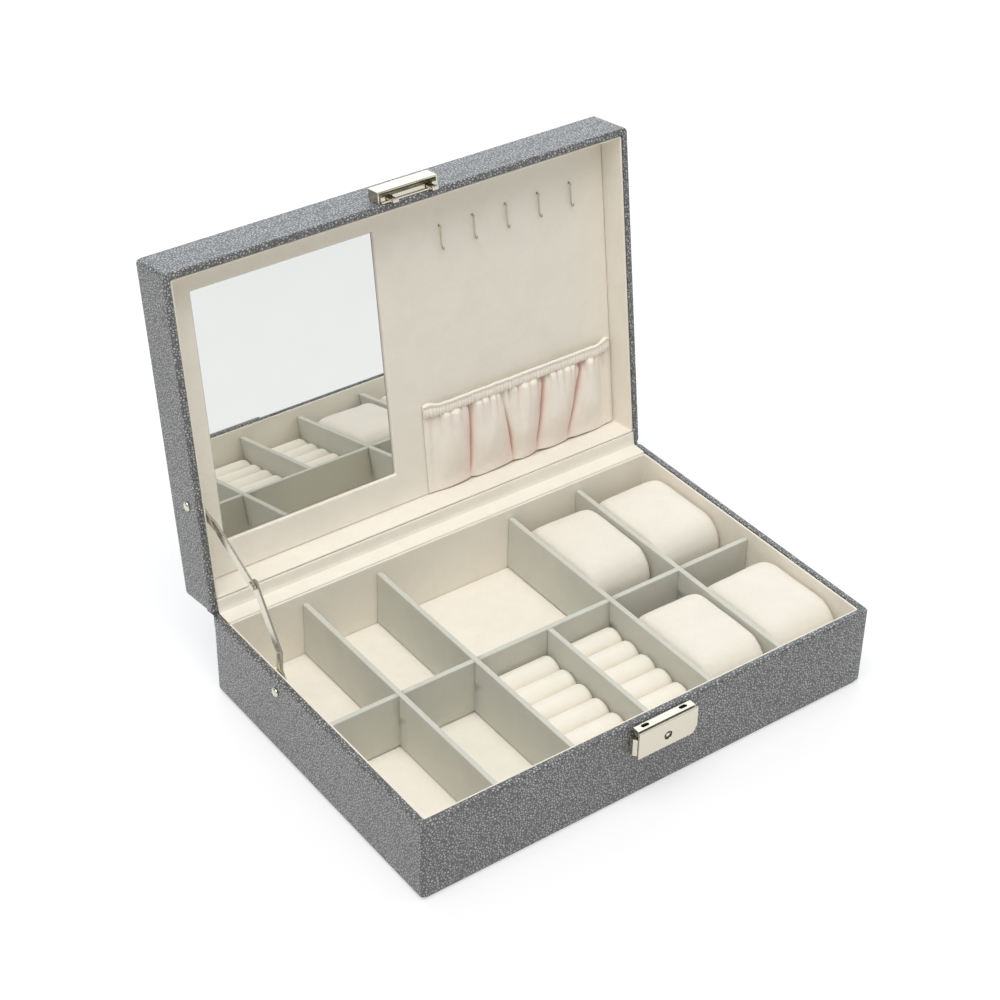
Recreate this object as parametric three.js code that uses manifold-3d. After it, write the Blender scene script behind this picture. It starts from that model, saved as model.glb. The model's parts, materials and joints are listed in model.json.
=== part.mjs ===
// A lidded box for watches and jewellery, with its lid open on its stay.
// Millimetres. +X to the right, +Y to the back, +Z up, origin at the middle of the underside.
import * as THREE from 'three';
import { mergeVertices } from 'three/addons/utils/BufferGeometryUtils.js';
import Module from 'manifold-3d';

// Overall sizes
const boxWidth = 280;
const boxDepth = 188.5;
const baseHeight = 48;
const lidHeight = 28;
const lidOpenAngle = THREE.MathUtils.degToRad(97.7);
const rimGap = 0.5;
const cornerRadius = 2.5;

// Build-up of the walls, from the outside in
const glueGap = 0.25;
const coverThickness = 0.9;
const boardThickness = 2.6;
const linerThickness = 1;
const baseRearBoardThickness = 7.9;
const lidRearBoardThickness = 6.4;
const undersideThickness = 0.8;
const undersideInset = 1.5;
const coverTurnIn = 12;
const bottomBoardThickness = 3;
const floorPadThickness = 3.5;
const topBoardThickness = 3;
const linerBelowRim = 0.6;
const hingeLiningThickness = 0.9;

// Dividers in the base
const dividerThickness = 3;
const dividerBelowRim = 6;
const lapClearance = 0.3;
const longDividerOffset = -1.85;
const leftColumnWidth = 42;
const secondColumnWidth = 43;
const innerWatchColumnWidth = 43.5;
const outerWatchColumnWidth = 46;
const ringDividerOffset = 2.25;

// Soft fittings in the base
const padClearance = 0.8;
const ringRolls = 6;
const ringRollHeight = 21;
const ringSlitDepth = 13;
const ringSlitWidth = 0.7;
const pillowBelowRim = 4;
const pillowRadius = 15;
const pillowWallGap = 7;
const pillowDividerGap = 10.25;

// Lock on the front of the base
const lockX = 1;
const lockWidth = 37;
const lockHeight = 16.6;
const lockBelowRim = 1.2;
const lockCaseDepth = 5;
const lockWall = 1;
const lockPlateThickness = 1;
const lockPlateOverhang = 0.5;
const plateClipWidth = 1.6;
const plateClipHeight = 4.5;
const keyholeRadius = 2.75;
const keyholeDrop = 1.5;
const camRadius = 4;
const camThickness = 1.2;
const keyPinRadius = 1.1;
const boltThickness = 0.8;
const boltBelowCaseTop = 1.4;
const runningGap = 0.4;

// Catch on the front of the lid
const catchWidth = 36;
const catchHeight = 9;
const catchDepth = 6;
const catchAboveRim = 2;
const catchSheet = 0.9;
const prongSpacing = 23.8;
const prongWidth = 3.6;
const prongThickness = 1.4;
const prongBelowRim = 5.3;
const prongNotch = 1.2;
const notchPlay = 0.15;
const prongStepHeight = 1.4;

// Lid stay on the left side: distances of its pivots from the hinge and from the rims
const stayBaseFromHinge = 60.75;
const stayBaseBelowRim = 8.2;
const stayLidFromHinge = 60;
const stayLidBelowPanel = 6.9;
const staySlack = 1.75;
const stayArmWidth = 5.6;
const stayArmThickness = 1.2;
const stayJoggleStart = 9;
const stayJoggleLength = 8;
const stayUpperStandOff = 1.8;
const stayLowerStandOff = 3.5;
const rivetShankRadius = 1.2;
const rivetHeadRadius = 2.7;
const rivetHeadHeight = 1.3;
const pivotClearance = 0.3;

// Fittings in the lid
const panelThickness = 6.6;
const mirrorWidth = 105.5;
const mirrorSideMargin = 16.5;
const mirrorFrontMargin = 15.5;
const mirrorBackMargin = 19.7;
const mirrorThickness = 2;
const mirrorRecess = 1.7;
const hookCount = 5;
const hookMirrorGap = 40;
const hookSideMargin = 23.4;
const hookFrontMargin = 23;
const hookLength = 13.7;
const hookWire = 1.2;
const hookStandOff = 1.9;
const hookReach = 4.4;
const hookBaseRadius = 2.1;
const hookBaseThickness = 0.6;
const pocketMirrorGap = 19.5;
const pocketSideMargin = 2.4;
const pocketHeight = 55;
const pocketBulge = 10;
const pocketCloth = 1.2;
const pocketSeam = 4;
const casingHeight = 8;
const casingThickness = 2;

// Places worked out from the sizes above
const halfWidth = boxWidth / 2;
const halfDepth = boxDepth / 2;
const boardIn = coverThickness + glueGap;
const linerIn = boardIn + boardThickness + glueGap;
const wallIn = linerIn + linerThickness;
const baseRearLinerIn = boardIn + baseRearBoardThickness + glueGap;
const baseRearIn = baseRearLinerIn + linerThickness;
const lidRearLinerIn = boardIn + lidRearBoardThickness + glueGap;
const lidRearIn = lidRearLinerIn + linerThickness;
const coverBottom = undersideThickness + glueGap;
const bottomBoardLow = coverBottom + coverThickness + glueGap;
const bottomBoardTop = bottomBoardLow + bottomBoardThickness;
const floorPadLow = bottomBoardTop + glueGap;
const floorTop = floorPadLow + floorPadThickness;
const dividerTop = baseHeight - dividerBelowRim;
const pillowHeight = baseHeight - pillowBelowRim - floorTop - glueGap;
const innerLeft = -halfWidth + wallIn;
const innerRight = halfWidth - wallIn;
const innerFront = -halfDepth + wallIn;
const innerBack = halfDepth - baseRearIn;
const longDividerY = (innerFront + innerBack) / 2 + longDividerOffset;
const halfDivider = dividerThickness / 2;
const firstDividerX = innerLeft + leftColumnWidth + halfDivider;
const secondDividerX = firstDividerX + dividerThickness + secondColumnWidth;
const fourthDividerX = innerRight - outerWatchColumnWidth - halfDivider;
const thirdDividerX = fourthDividerX - dividerThickness - innerWatchColumnWidth;
const crossDividerX = [firstDividerX, secondDividerX, thirdDividerX, fourthDividerX];
const ringDividerX = (secondDividerX + thirdDividerX) / 2 + ringDividerOffset;
const frontRowDepth = longDividerY - halfDivider - innerFront;
const backRowDepth = innerBack - longDividerY - halfDivider;
const pillowLength = Math.min(frontRowDepth, backRowDepth) - pillowWallGap - pillowDividerGap;
const stayBaseY = halfDepth - stayBaseFromHinge;
const stayLidY = -stayLidFromHinge;
const hingeY = halfDepth;
const hingeZ = baseHeight + rimGap / 2;
const lidRim = rimGap / 2;
const lidTop = lidRim + lidHeight;
const topBoardLow = lidTop - coverThickness - glueGap - topBoardThickness;
const panelFace = topBoardLow - glueGap - panelThickness;
const lidFrontY = -boxDepth;
const insideFront = lidFrontY + wallIn;
const insideRear = -lidRearIn;
const mirrorLeft = innerLeft + mirrorSideMargin;
const mirrorRight = mirrorLeft + mirrorWidth;
const mirrorFront = insideFront + mirrorFrontMargin;
const mirrorBack = insideRear - mirrorBackMargin;
const hookFirstX = mirrorRight + hookMirrorGap;
const hookPitch = (innerRight - hookSideMargin - hookFirstX) / (hookCount - 1);
const hookTopY = insideFront + hookFrontMargin;
const pocketLeft = mirrorRight + pocketMirrorGap;
const pocketRight = innerRight - pocketSideMargin;

const wasm = await Module();
wasm.setup();

// Shape coordinates (a, b) and length c turned to (Y, Z, X) or to (Z, X, Y)
const alongX = new THREE.Matrix4().makeBasis(
  new THREE.Vector3(0, 1, 0), new THREE.Vector3(0, 0, 1), new THREE.Vector3(1, 0, 0));
const alongY = new THREE.Matrix4().makeBasis(
  new THREE.Vector3(0, 0, 1), new THREE.Vector3(1, 0, 0), new THREE.Vector3(0, 1, 0));

function toSolid(geometry) {
  const bare = geometry.clone();
  bare.deleteAttribute('normal');
  bare.deleteAttribute('uv');
  const merged = mergeVertices(bare, 1e-4);
  const vertProperties = new Float32Array(merged.attributes.position.array);
  const triVerts = new Uint32Array(merged.index.array);
  return new wasm.Manifold(new wasm.Mesh({ numProp: 3, vertProperties, triVerts }));
}

function toGeometry(solid) {
  const mesh = solid.getMesh();
  const geometry = new THREE.BufferGeometry();
  geometry.setAttribute('position', new THREE.BufferAttribute(mesh.vertProperties, 3));
  geometry.setIndex(new THREE.BufferAttribute(mesh.triVerts, 1));
  geometry.computeVertexNormals();
  return geometry;
}

function cut(geometry, ...tools) {
  let solid = toSolid(geometry);
  for (const tool of tools) {
    solid = solid.subtract(toSolid(tool));
  }
  return toGeometry(solid);
}

function join(first, ...others) {
  let solid = toSolid(first);
  for (const other of others) {
    solid = solid.add(toSolid(other));
  }
  return toGeometry(solid);
}

function common(first, second) {
  return toGeometry(toSolid(first).intersect(toSolid(second)));
}

function block(x0, x1, y0, y1, z0, z1) {
  const geometry = new THREE.BoxGeometry(x1 - x0, y1 - y0, z1 - z0);
  return geometry.translate((x0 + x1) / 2, (y0 + y1) / 2, (z0 + z1) / 2);
}

function roundedShape(x0, x1, y0, y1, radius) {
  const shape = new THREE.Shape();
  shape.absarc(x1 - radius, y0 + radius, radius, -Math.PI / 2, 0);
  shape.absarc(x1 - radius, y1 - radius, radius, 0, Math.PI / 2);
  shape.absarc(x0 + radius, y1 - radius, radius, Math.PI / 2, Math.PI);
  shape.absarc(x0 + radius, y0 + radius, radius, Math.PI, Math.PI * 1.5);
  shape.closePath();
  return shape;
}

function extrude(shape, length, curveSegments = 4) {
  return new THREE.ExtrudeGeometry(shape, { depth: length, bevelEnabled: false, curveSegments });
}

function roundedBlock(x0, x1, y0, y1, z0, z1, radius) {
  return extrude(roundedShape(x0, x1, y0, y1, radius), z1 - z0).translate(0, 0, z0);
}

function polygon(points) {
  return new THREE.Shape(points.map(([a, b]) => new THREE.Vector2(a, b)));
}

function rodX(radius, x0, x1, y, z, sides = 16) {
  const rod = new THREE.CylinderGeometry(radius, radius, x1 - x0, sides);
  return rod.rotateZ(-Math.PI / 2).translate((x0 + x1) / 2, y, z);
}

function rodY(radius, y0, y1, x, z, sides = 16) {
  const rod = new THREE.CylinderGeometry(radius, radius, y1 - y0, sides);
  return rod.translate(x, (y0 + y1) / 2, z);
}

// A body turned about X from a profile of (radius, x) points
function turnedX(profile, y, z, sides = 16) {
  const points = profile.map(([radius, x]) => new THREE.Vector2(radius, x));
  return new THREE.LatheGeometry(points, sides).rotateZ(-Math.PI / 2).translate(0, y, z);
}

// Profile of a domed head that bulges towards +x from a flat seat
function domePoints(radius, height, seatX, steps = 4) {
  const points = [];
  for (let i = 0; i <= steps; i += 1) {
    const turn = (i / steps) * Math.PI / 2;
    points.push([radius * Math.cos(turn), seatX + height * Math.sin(turn)]);
  }
  points[steps][0] = 0;
  return points;
}

function finish(color, roughness, metalness = 0) {
  return { color, roughness, metalness };
}

const leather = finish(0x7d7f82, 0.45);
const suede = finish(0xe6dfcc, 0.9);
const board = finish(0xb9a07a, 0.8);
const greySuede = finish(0xb9b9a8, 0.85);
const felt = finish(0x3a3a3a, 0.95);
const satin = finish(0xf0dfd2, 0.55);
const nickel = finish(0xdedacb, 0.22, 1);
const glassMirror = finish(0xeef0f0, 0.03, 1);

const group = new THREE.Group();
const lid = new THREE.Group();
lid.position.set(0, hingeY, hingeZ);
lid.rotation.x = -lidOpenAngle;
group.add(lid);

function add(parent, name, geometry, look) {
  const mesh = new THREE.Mesh(geometry, new THREE.MeshStandardMaterial(look));
  mesh.name = name;
  parent.add(mesh);
}

// ---- Lid stay: pivots and angles, in the plane of Y and Z ----

const stayBaseZ = baseHeight - stayBaseBelowRim;
const stayLidZ = panelFace - stayLidBelowPanel;

function lidPoint(y, z) {
  const turned = new THREE.Vector2(y, z).rotateAround(new THREE.Vector2(0, 0), -lidOpenAngle);
  return turned.add(new THREE.Vector2(hingeY, hingeZ));
}

function knuckleBetween(start, end, arm) {
  const span = end.clone().sub(start);
  const half = span.length() / 2;
  const rise = Math.sqrt(arm * arm - half * half);
  const across = new THREE.Vector2(-span.y, span.x).normalize();
  return start.clone().add(end).multiplyScalar(0.5).add(across.multiplyScalar(rise));
}

const stayBasePivot = new THREE.Vector2(stayBaseY, stayBaseZ);
const stayLidPivot = lidPoint(stayLidY, stayLidZ);
const stayArmLength = stayBasePivot.distanceTo(stayLidPivot) / 2 + staySlack;
const knuckle = knuckleBetween(stayBasePivot, stayLidPivot, stayArmLength);
const armInnerX = innerLeft + runningGap;

// ---- Base ----

function wallHole(y, z) {
  return rodX(rivetShankRadius + pivotClearance, -halfWidth - 1, innerLeft + 1, y, z);
}

function makeBaseShell() {
  const inside = coverThickness;
  const lipIn = linerIn - glueGap;
  const cover = cut(
    roundedBlock(-halfWidth, halfWidth, -halfDepth, halfDepth, coverBottom, baseHeight, cornerRadius),
    block(-halfWidth + inside, halfWidth - inside, -halfDepth + inside, halfDepth - inside,
      coverBottom + coverThickness, baseHeight - coverThickness),
    block(-halfWidth + lipIn, halfWidth - lipIn, -halfDepth + lipIn, halfDepth - inside,
      baseHeight - 2 * coverThickness, baseHeight + 1),
    block(-halfWidth + coverTurnIn, halfWidth - coverTurnIn, -halfDepth + coverTurnIn,
      halfDepth - coverTurnIn, 0, coverBottom + 2 * coverThickness),
    wallHole(stayBaseY, stayBaseZ));
  add(group, 'base_cover', cover, leather);

  const sheetX = halfWidth - undersideInset;
  const sheetY = halfDepth - undersideInset;
  add(group, 'underside_sheet',
    roundedBlock(-sheetX, sheetX, -sheetY, sheetY, 0, undersideThickness, cornerRadius), felt);

  const boardX = halfWidth - boardIn;
  const boardY = halfDepth - boardIn;
  const boardTop = baseHeight - coverThickness - glueGap;
  const frontInner = -boardY + boardThickness;
  const rearInner = boardY - baseRearBoardThickness;
  const sideInner = boardX - boardThickness;
  add(group, 'base_front_board',
    block(-boardX, boardX, -boardY, frontInner, bottomBoardLow, boardTop), board);
  add(group, 'base_rear_board',
    block(-boardX, boardX, rearInner, boardY, bottomBoardLow, boardTop), board);
  add(group, 'base_right_board', block(sideInner, boardX, frontInner + glueGap,
    rearInner - glueGap, bottomBoardLow, boardTop), board);
  add(group, 'base_left_board', cut(
    block(-boardX, -sideInner, frontInner + glueGap, rearInner - glueGap, bottomBoardLow, boardTop),
    wallHole(stayBaseY, stayBaseZ)), board);
  add(group, 'base_bottom_board', block(-sideInner + glueGap, sideInner - glueGap,
    frontInner + glueGap, rearInner - glueGap, bottomBoardLow, bottomBoardTop), board);
}

function makeBaseLining() {
  const linerTop = baseHeight - linerBelowRim;
  const linerX = halfWidth - linerIn;
  const linerFrontY = -halfDepth + linerIn;
  const linerBackY = halfDepth - baseRearLinerIn;
  add(group, 'base_front_liner',
    block(-linerX, linerX, linerFrontY, innerFront, floorPadLow, linerTop), suede);
  add(group, 'base_rear_liner',
    block(-linerX, linerX, innerBack, linerBackY, floorPadLow, linerTop), suede);
  add(group, 'base_right_liner', block(innerRight, linerX, innerFront + glueGap,
    innerBack - glueGap, floorPadLow, linerTop), suede);
  add(group, 'base_left_liner', cut(
    block(-linerX, innerLeft, innerFront + glueGap, innerBack - glueGap, floorPadLow, linerTop),
    wallHole(stayBaseY, stayBaseZ)), suede);
  add(group, 'floor_pad', block(innerLeft + glueGap, innerRight - glueGap, innerFront + glueGap,
    innerBack - glueGap, floorPadLow, floorTop), suede);
  add(group, 'hinge_lining_base', block(-linerX, linerX, linerBackY + glueGap,
    halfDepth - coverThickness - glueGap, baseHeight - hingeLiningThickness, baseHeight), suede);
}

function makeDividers() {
  const low = floorTop + glueGap;
  const middle = (low + dividerTop) / 2;
  const half = halfDivider;
  const slot = half + lapClearance;
  const front = innerFront + glueGap;
  const back = innerBack - glueGap;
  const notches = crossDividerX.map(
    (x) => block(x - slot, x + slot, longDividerY - half - 1, longDividerY + half + 1,
      middle - lapClearance / 2, dividerTop + 1));
  add(group, 'long_divider', cut(block(innerLeft + glueGap, innerRight - glueGap,
    longDividerY - half, longDividerY + half, low, dividerTop), ...notches), greySuede);
  crossDividerX.forEach((x, i) => {
    const lap = block(x - half - 1, x + half + 1, longDividerY - slot, longDividerY + slot,
      low - 1, middle + lapClearance / 2);
    add(group, `cross_divider_${i + 1}`,
      cut(block(x - half, x + half, front, back, low, dividerTop), lap), greySuede);
  });
  add(group, 'ring_divider', block(ringDividerX - half, ringDividerX + half, front,
    longDividerY - half - glueGap, low, dividerTop), greySuede);
}

// A row of half-round rolls on one slab, with a slit between neighbours
function ringPad(x0, x1) {
  const y0 = innerFront + padClearance;
  const y1 = longDividerY - halfDivider - padClearance;
  const pitch = (y1 - y0) / ringRolls;
  const radius = (pitch - ringSlitWidth) / 2;
  const low = floorTop + glueGap;
  const top = low + ringRollHeight;
  const slitFloor = top - ringSlitDepth;
  const shape = new THREE.Shape();
  shape.moveTo(y0, low);
  shape.lineTo(y1, low);
  for (let i = ringRolls - 1; i >= 0; i -= 1) {
    const middle = y0 + (i + 0.5) * pitch;
    shape.lineTo(i === ringRolls - 1 ? y1 : middle + radius, slitFloor);
    shape.absarc(middle, top - radius, radius, 0, Math.PI);
    shape.lineTo(i === 0 ? y0 : middle - radius, slitFloor);
  }
  shape.closePath();
  return extrude(shape, x1 - x0, 8).applyMatrix4(alongX).translate(x0, 0, 0);
}

function makeSoftFittings() {
  const half = halfDivider;
  add(group, 'ring_pad_left',
    ringPad(secondDividerX + half + padClearance, ringDividerX - half - padClearance), suede);
  add(group, 'ring_pad_right',
    ringPad(ringDividerX + half + padClearance, thirdDividerX - half - padClearance), suede);

  const low = floorTop + glueGap;
  const columns = [[thirdDividerX + half, fourthDividerX - half], [fourthDividerX + half, innerRight]];
  const backEnd = innerBack - pillowWallGap;
  const frontStart = innerFront + pillowWallGap;
  const rows = [['back', backEnd - pillowLength], ['front', frontStart]];
  for (const [row, y0] of rows) {
    columns.forEach(([x0, x1], i) => {
      const shape = roundedShape(y0, y0 + pillowLength, low, low + pillowHeight, pillowRadius);
      const length = x1 - x0 - 2 * padClearance;
      const pillow = extrude(shape, length, 6).applyMatrix4(alongX);
      const side = i === 0 ? 'inner' : 'outer';
      add(group, `watch_pillow_${row}_${side}`, pillow.translate(x0 + padClearance, 0, 0), suede);
    });
  }
}

// ---- Lock ----

const lockTop = baseHeight - lockBelowRim;
const lockLow = lockTop - lockHeight;
const lockCaseTop = lockTop - lockPlateOverhang / 2;
const keyZ = (lockTop + lockLow) / 2 - keyholeDrop;
const caseBackY = -halfDepth - glueGap;
const caseFrontY = caseBackY - lockCaseDepth;
const prongY = (caseBackY + caseFrontY + lockWall) / 2;

function makeLock() {
  const half = lockWidth / 2 - lockPlateOverhang;
  const caseLow = lockLow + lockPlateOverhang;
  const holeX = prongWidth / 2 + 2 * runningGap;
  const holeY = prongThickness / 2 + runningGap;
  const prongHoles = [-1, 1].map((side) => {
    const x = lockX + side * prongSpacing / 2;
    return block(x - holeX, x + holeX, prongY - holeY, prongY + holeY, lockCaseTop - 3, lockCaseTop + 1);
  });
  const shell = cut(
    block(lockX - half, lockX + half, caseFrontY, caseBackY, caseLow, lockCaseTop),
    block(lockX - half + lockWall, lockX + half - lockWall, caseFrontY + lockWall, caseBackY + 1,
      caseLow + lockWall, lockCaseTop - lockWall),
    rodY(keyholeRadius, caseFrontY - 1, caseFrontY + lockWall + 0.5, lockX, keyZ, 20),
    ...prongHoles);
  add(group, 'lock_case', shell, nickel);

  const plateHalf = lockWidth / 2;
  const plateBack = caseFrontY - glueGap;
  const outline = polygon([
    [lockLow, lockX - plateHalf], [lockLow, lockX + plateHalf - plateClipWidth],
    [lockLow + plateClipHeight, lockX + plateHalf], [lockTop, lockX + plateHalf],
    [lockTop, lockX - plateHalf]]);
  const plate = extrude(outline, lockPlateThickness).applyMatrix4(alongY);
  add(group, 'lock_front_plate', cut(
    plate.translate(0, plateBack - lockPlateThickness, 0),
    rodY(keyholeRadius, plateBack - 3, plateBack + 1, lockX, keyZ, 20)), nickel);

  const camFront = caseFrontY + lockWall + runningGap;
  const lug = block(lockX - 1, lockX + 1, camFront, camFront + camThickness,
    keyZ + camRadius - 1, keyZ + camRadius + 1.2);
  add(group, 'lock_cam', join(
    rodY(camRadius, camFront, camFront + camThickness, lockX, keyZ, 20), lug,
    rodY(keyPinRadius, plateBack - lockPlateThickness / 2, camFront + 0.5, lockX, keyZ, 12)), nickel);

  const boltTop = lockCaseTop - boltBelowCaseTop;
  const boltBack = caseBackY - runningGap;
  const boltHalf = half - lockWall - 2.5;
  const passages = [-1, 1].map((side) => {
    const x = lockX + side * prongSpacing / 2;
    return block(x - prongWidth / 2 - runningGap, x + prongWidth / 2 + runningGap,
      prongY - holeY, prongY + holeY, boltTop - 3, boltTop + 1);
  });
  const web = block(lockX - 4, lockX + 4, boltBack - 1, boltBack, keyZ + 1, boltTop);
  add(group, 'lock_bolt', join(cut(
    block(lockX - boltHalf, lockX + boltHalf, caseFrontY + lockWall + runningGap, boltBack,
      boltTop - boltThickness, boltTop), ...passages), web), nickel);
}

// ---- Lid, drawn closed about the hinge line and turned open by its group ----

function makeLidShell() {
  const inside = coverThickness;
  const lipIn = linerIn - glueGap;
  const cover = cut(
    roundedBlock(-halfWidth, halfWidth, lidFrontY, 0, lidRim, lidTop, cornerRadius),
    block(-halfWidth + inside, halfWidth - inside, lidFrontY + inside, -inside,
      lidRim + coverThickness, lidTop - coverThickness),
    block(-halfWidth + lipIn, halfWidth - lipIn, lidFrontY + lipIn, -inside,
      lidRim - 1, lidRim + 2 * coverThickness),
    wallHole(stayLidY, stayLidZ));
  add(lid, 'lid_cover', cover, leather);

  const boardX = halfWidth - boardIn;
  const frontY = lidFrontY + boardIn;
  const rearY = -boardIn;
  const low = lidRim + coverThickness + glueGap;
  const wallTop = topBoardLow - glueGap;
  const sideInner = boardX - boardThickness;
  const frontInner = frontY + boardThickness;
  const rearInner = rearY - lidRearBoardThickness;
  add(lid, 'lid_top_board', block(-boardX, boardX, frontY, rearY, topBoardLow,
    topBoardLow + topBoardThickness), board);
  add(lid, 'lid_front_board', block(-boardX, boardX, frontY, frontInner, low, wallTop), board);
  add(lid, 'lid_rear_board', block(-boardX, boardX, rearInner, rearY, low, wallTop), board);
  add(lid, 'lid_right_board', block(sideInner, boardX, frontInner + glueGap, rearInner - glueGap,
    low, wallTop), board);
  add(lid, 'lid_left_board', cut(
    block(-boardX, -sideInner, frontInner + glueGap, rearInner - glueGap, low, wallTop),
    wallHole(stayLidY, stayLidZ)), board);

  const linerX = halfWidth - linerIn;
  const linerLow = lidRim + linerBelowRim;
  const linerTop = wallTop;
  const linerFrontY = lidFrontY + linerIn;
  const linerRearY = -lidRearLinerIn;
  add(lid, 'lid_front_liner',
    block(-linerX, linerX, linerFrontY, insideFront, linerLow, linerTop), suede);
  add(lid, 'lid_rear_liner',
    block(-linerX, linerX, insideRear, linerRearY, linerLow, linerTop), suede);
  add(lid, 'lid_right_liner', block(linerX - linerThickness, linerX, insideFront + glueGap,
    insideRear - glueGap, linerLow, linerTop), suede);
  add(lid, 'lid_left_liner', cut(
    block(-linerX, -linerX + linerThickness, insideFront + glueGap, insideRear - glueGap,
      linerLow, linerTop),
    wallHole(stayLidY, stayLidZ)), suede);
  add(lid, 'hinge_lining_lid', block(-linerX, linerX, linerRearY + glueGap,
    -coverThickness - glueGap, lidRim, lidRim + hingeLiningThickness), suede);

  const windowFloor = panelFace + mirrorRecess + mirrorThickness + glueGap;
  add(lid, 'lid_panel', cut(
    block(innerLeft + glueGap, innerRight - glueGap, insideFront + glueGap, insideRear - glueGap,
      panelFace, wallTop),
    block(mirrorLeft - glueGap, mirrorRight + glueGap, mirrorFront - glueGap,
      mirrorBack + glueGap, panelFace - 1, windowFloor)), suede);
  add(lid, 'mirror', block(mirrorLeft, mirrorRight, mirrorFront, mirrorBack,
    panelFace + mirrorRecess, windowFloor - glueGap), glassMirror);
}

// A wire hook with a round foot: out from the panel, down, and curled forward at its end
function hook(x) {
  const foot = panelFace - glueGap;
  const stem = foot - hookStandOff;
  const tip = foot - hookReach;
  const endY = hookTopY + hookLength;
  const path = new THREE.CatmullRomCurve3([
    new THREE.Vector3(x, hookTopY, foot - 0.1), new THREE.Vector3(x, hookTopY + 0.1, foot - 1.2),
    new THREE.Vector3(x, hookTopY + 1.5, stem), new THREE.Vector3(x, hookTopY + 6, stem),
    new THREE.Vector3(x, endY - 2.6, stem), new THREE.Vector3(x, endY - 0.9, stem - 0.8),
    new THREE.Vector3(x, endY - 0.6, tip + 1), new THREE.Vector3(x, endY - 2.8, tip)]);
  const section = new THREE.Shape().absarc(0, 0, hookWire / 2, 0, 2 * Math.PI);
  const wire = new THREE.ExtrudeGeometry(section, {
    steps: 16, curveSegments: 4, bevelEnabled: false, extrudePath: path });
  const disc = new THREE.CylinderGeometry(hookBaseRadius, hookBaseRadius, hookBaseThickness, 16);
  disc.rotateX(Math.PI / 2).translate(x, hookTopY, foot - hookBaseThickness / 2);
  return join(disc, wire);
}

// The bulging part of the pocket, standing off the panel, as a shape of (z, x)
function bulgeShape(outset, floorZ) {
  const middle = (pocketLeft + pocketRight) / 2;
  const half = (pocketRight - pocketLeft) / 2 - pocketSeam + outset;
  const steps = 16;
  const points = [];
  for (let i = 0; i <= steps; i += 1) {
    const across = -Math.cos((i / steps) * Math.PI);
    const rise = (pocketBulge - pocketCloth + outset) * (1 - across ** 6);
    points.push([floorZ - rise, middle + across * half]);
  }
  return polygon(points);
}

function bulge(outset, floorZ, y0, y1) {
  return extrude(bulgeShape(outset, floorZ), y1 - y0).applyMatrix4(alongY).translate(0, y0, 0);
}

function makePocket() {
  const back = panelFace - glueGap;
  const bottom = -lidRearIn - glueGap;
  const top = bottom - pocketHeight;
  const casingEnd = top + casingHeight;
  const open = back + 1;
  const seam = block(pocketLeft, pocketRight, casingEnd + glueGap, bottom, back - pocketCloth, back);
  add(lid, 'pocket', cut(
    join(seam, bulge(pocketCloth, back, casingEnd + glueGap, bottom - pocketCloth)),
    bulge(0, back, casingEnd - 1, bottom - 3 * pocketCloth),
    bulge(0, open, casingEnd - 1, bottom - 3 * pocketCloth)), satin);
  const tabs = block(pocketLeft, pocketRight, top, casingEnd, back - casingThickness, back);
  add(lid, 'pocket_elastic_casing', cut(
    join(tabs, bulge(pocketCloth, back, top, casingEnd)),
    bulge(pocketCloth - casingThickness, back, top - 1, casingEnd + 1),
    bulge(pocketCloth - casingThickness, open, top - 1, casingEnd + 1)), satin);
}

function makeCatch() {
  const seat = lidFrontY - glueGap;
  const half = catchWidth / 2;
  const low = lidRim + catchAboveRim;
  add(lid, 'catch_cover', cut(
    block(lockX - half, lockX + half, seat - catchDepth, seat, low, low + catchHeight),
    block(lockX - half + catchSheet, lockX + half - catchSheet, seat - catchDepth + catchSheet,
      seat + 1, low - 1, low + catchHeight - catchSheet)), nickel);

  const plateHalf = half - catchSheet - glueGap;
  const plateTop = low + catchHeight - catchSheet - glueGap;
  const prongFront = prongY - hingeY - prongThickness / 2;
  const tip = lidRim - prongBelowRim;
  const boltTop = lockCaseTop - boltBelowCaseTop - hingeZ;
  const pieces = [];
  const notches = [];
  for (const side of [-1, 1]) {
    const x = lockX + side * prongSpacing / 2;
    pieces.push(block(x - prongWidth / 2, x + prongWidth / 2, prongFront,
      prongFront + prongThickness, tip, low + 2 * prongStepHeight));
    pieces.push(block(x - prongWidth / 2, x + prongWidth / 2, prongFront, seat,
      low + prongStepHeight, low + 2 * prongStepHeight));
    notches.push(block(x - prongWidth / 2 - 1, x - prongWidth / 2 + prongNotch, prongFront - 1,
      prongFront + prongThickness + 1, boltTop - boltThickness - notchPlay, boltTop + notchPlay));
  }
  const plate = block(lockX - plateHalf, lockX + plateHalf, seat - catchSheet, seat,
    lidRim + 0.4, plateTop);
  add(lid, 'catch_prongs', cut(join(plate, ...pieces), ...notches), nickel);
}

// ---- Stay arms and rivets ----

// A flat arm from its pivot along +Y, stepped away from the wall, with round ends and two eyes
function stayArm(farStandOff) {
  const half = stayArmWidth / 2;
  const x0 = armInnerX;
  const x1 = innerLeft + farStandOff;
  const stepEnd = stayJoggleStart + stayJoggleLength;
  const edge = polygon([
    [x0, -half], [x0 + stayArmThickness, -half], [x0 + stayArmThickness, stayJoggleStart],
    [x1 + stayArmThickness, stepEnd], [x1 + stayArmThickness, stayArmLength + half],
    [x1, stayArmLength + half], [x1, stepEnd], [x0, stayJoggleStart]]);
  const strip = extrude(edge, stayArmWidth).translate(0, 0, -half);
  const outline = extrude(roundedShape(-half, stayArmLength + half, -half, half, half - 0.01), 10, 6);
  const ends = outline.applyMatrix4(alongX).translate(innerLeft - 1, 0, 0);
  const eyeRadius = rivetShankRadius + pivotClearance;
  return cut(common(strip, ends),
    rodX(eyeRadius, innerLeft - 1, innerLeft + 8, 0, 0),
    rodX(eyeRadius, innerLeft - 1, innerLeft + 8, stayArmLength, 0));
}

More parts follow.
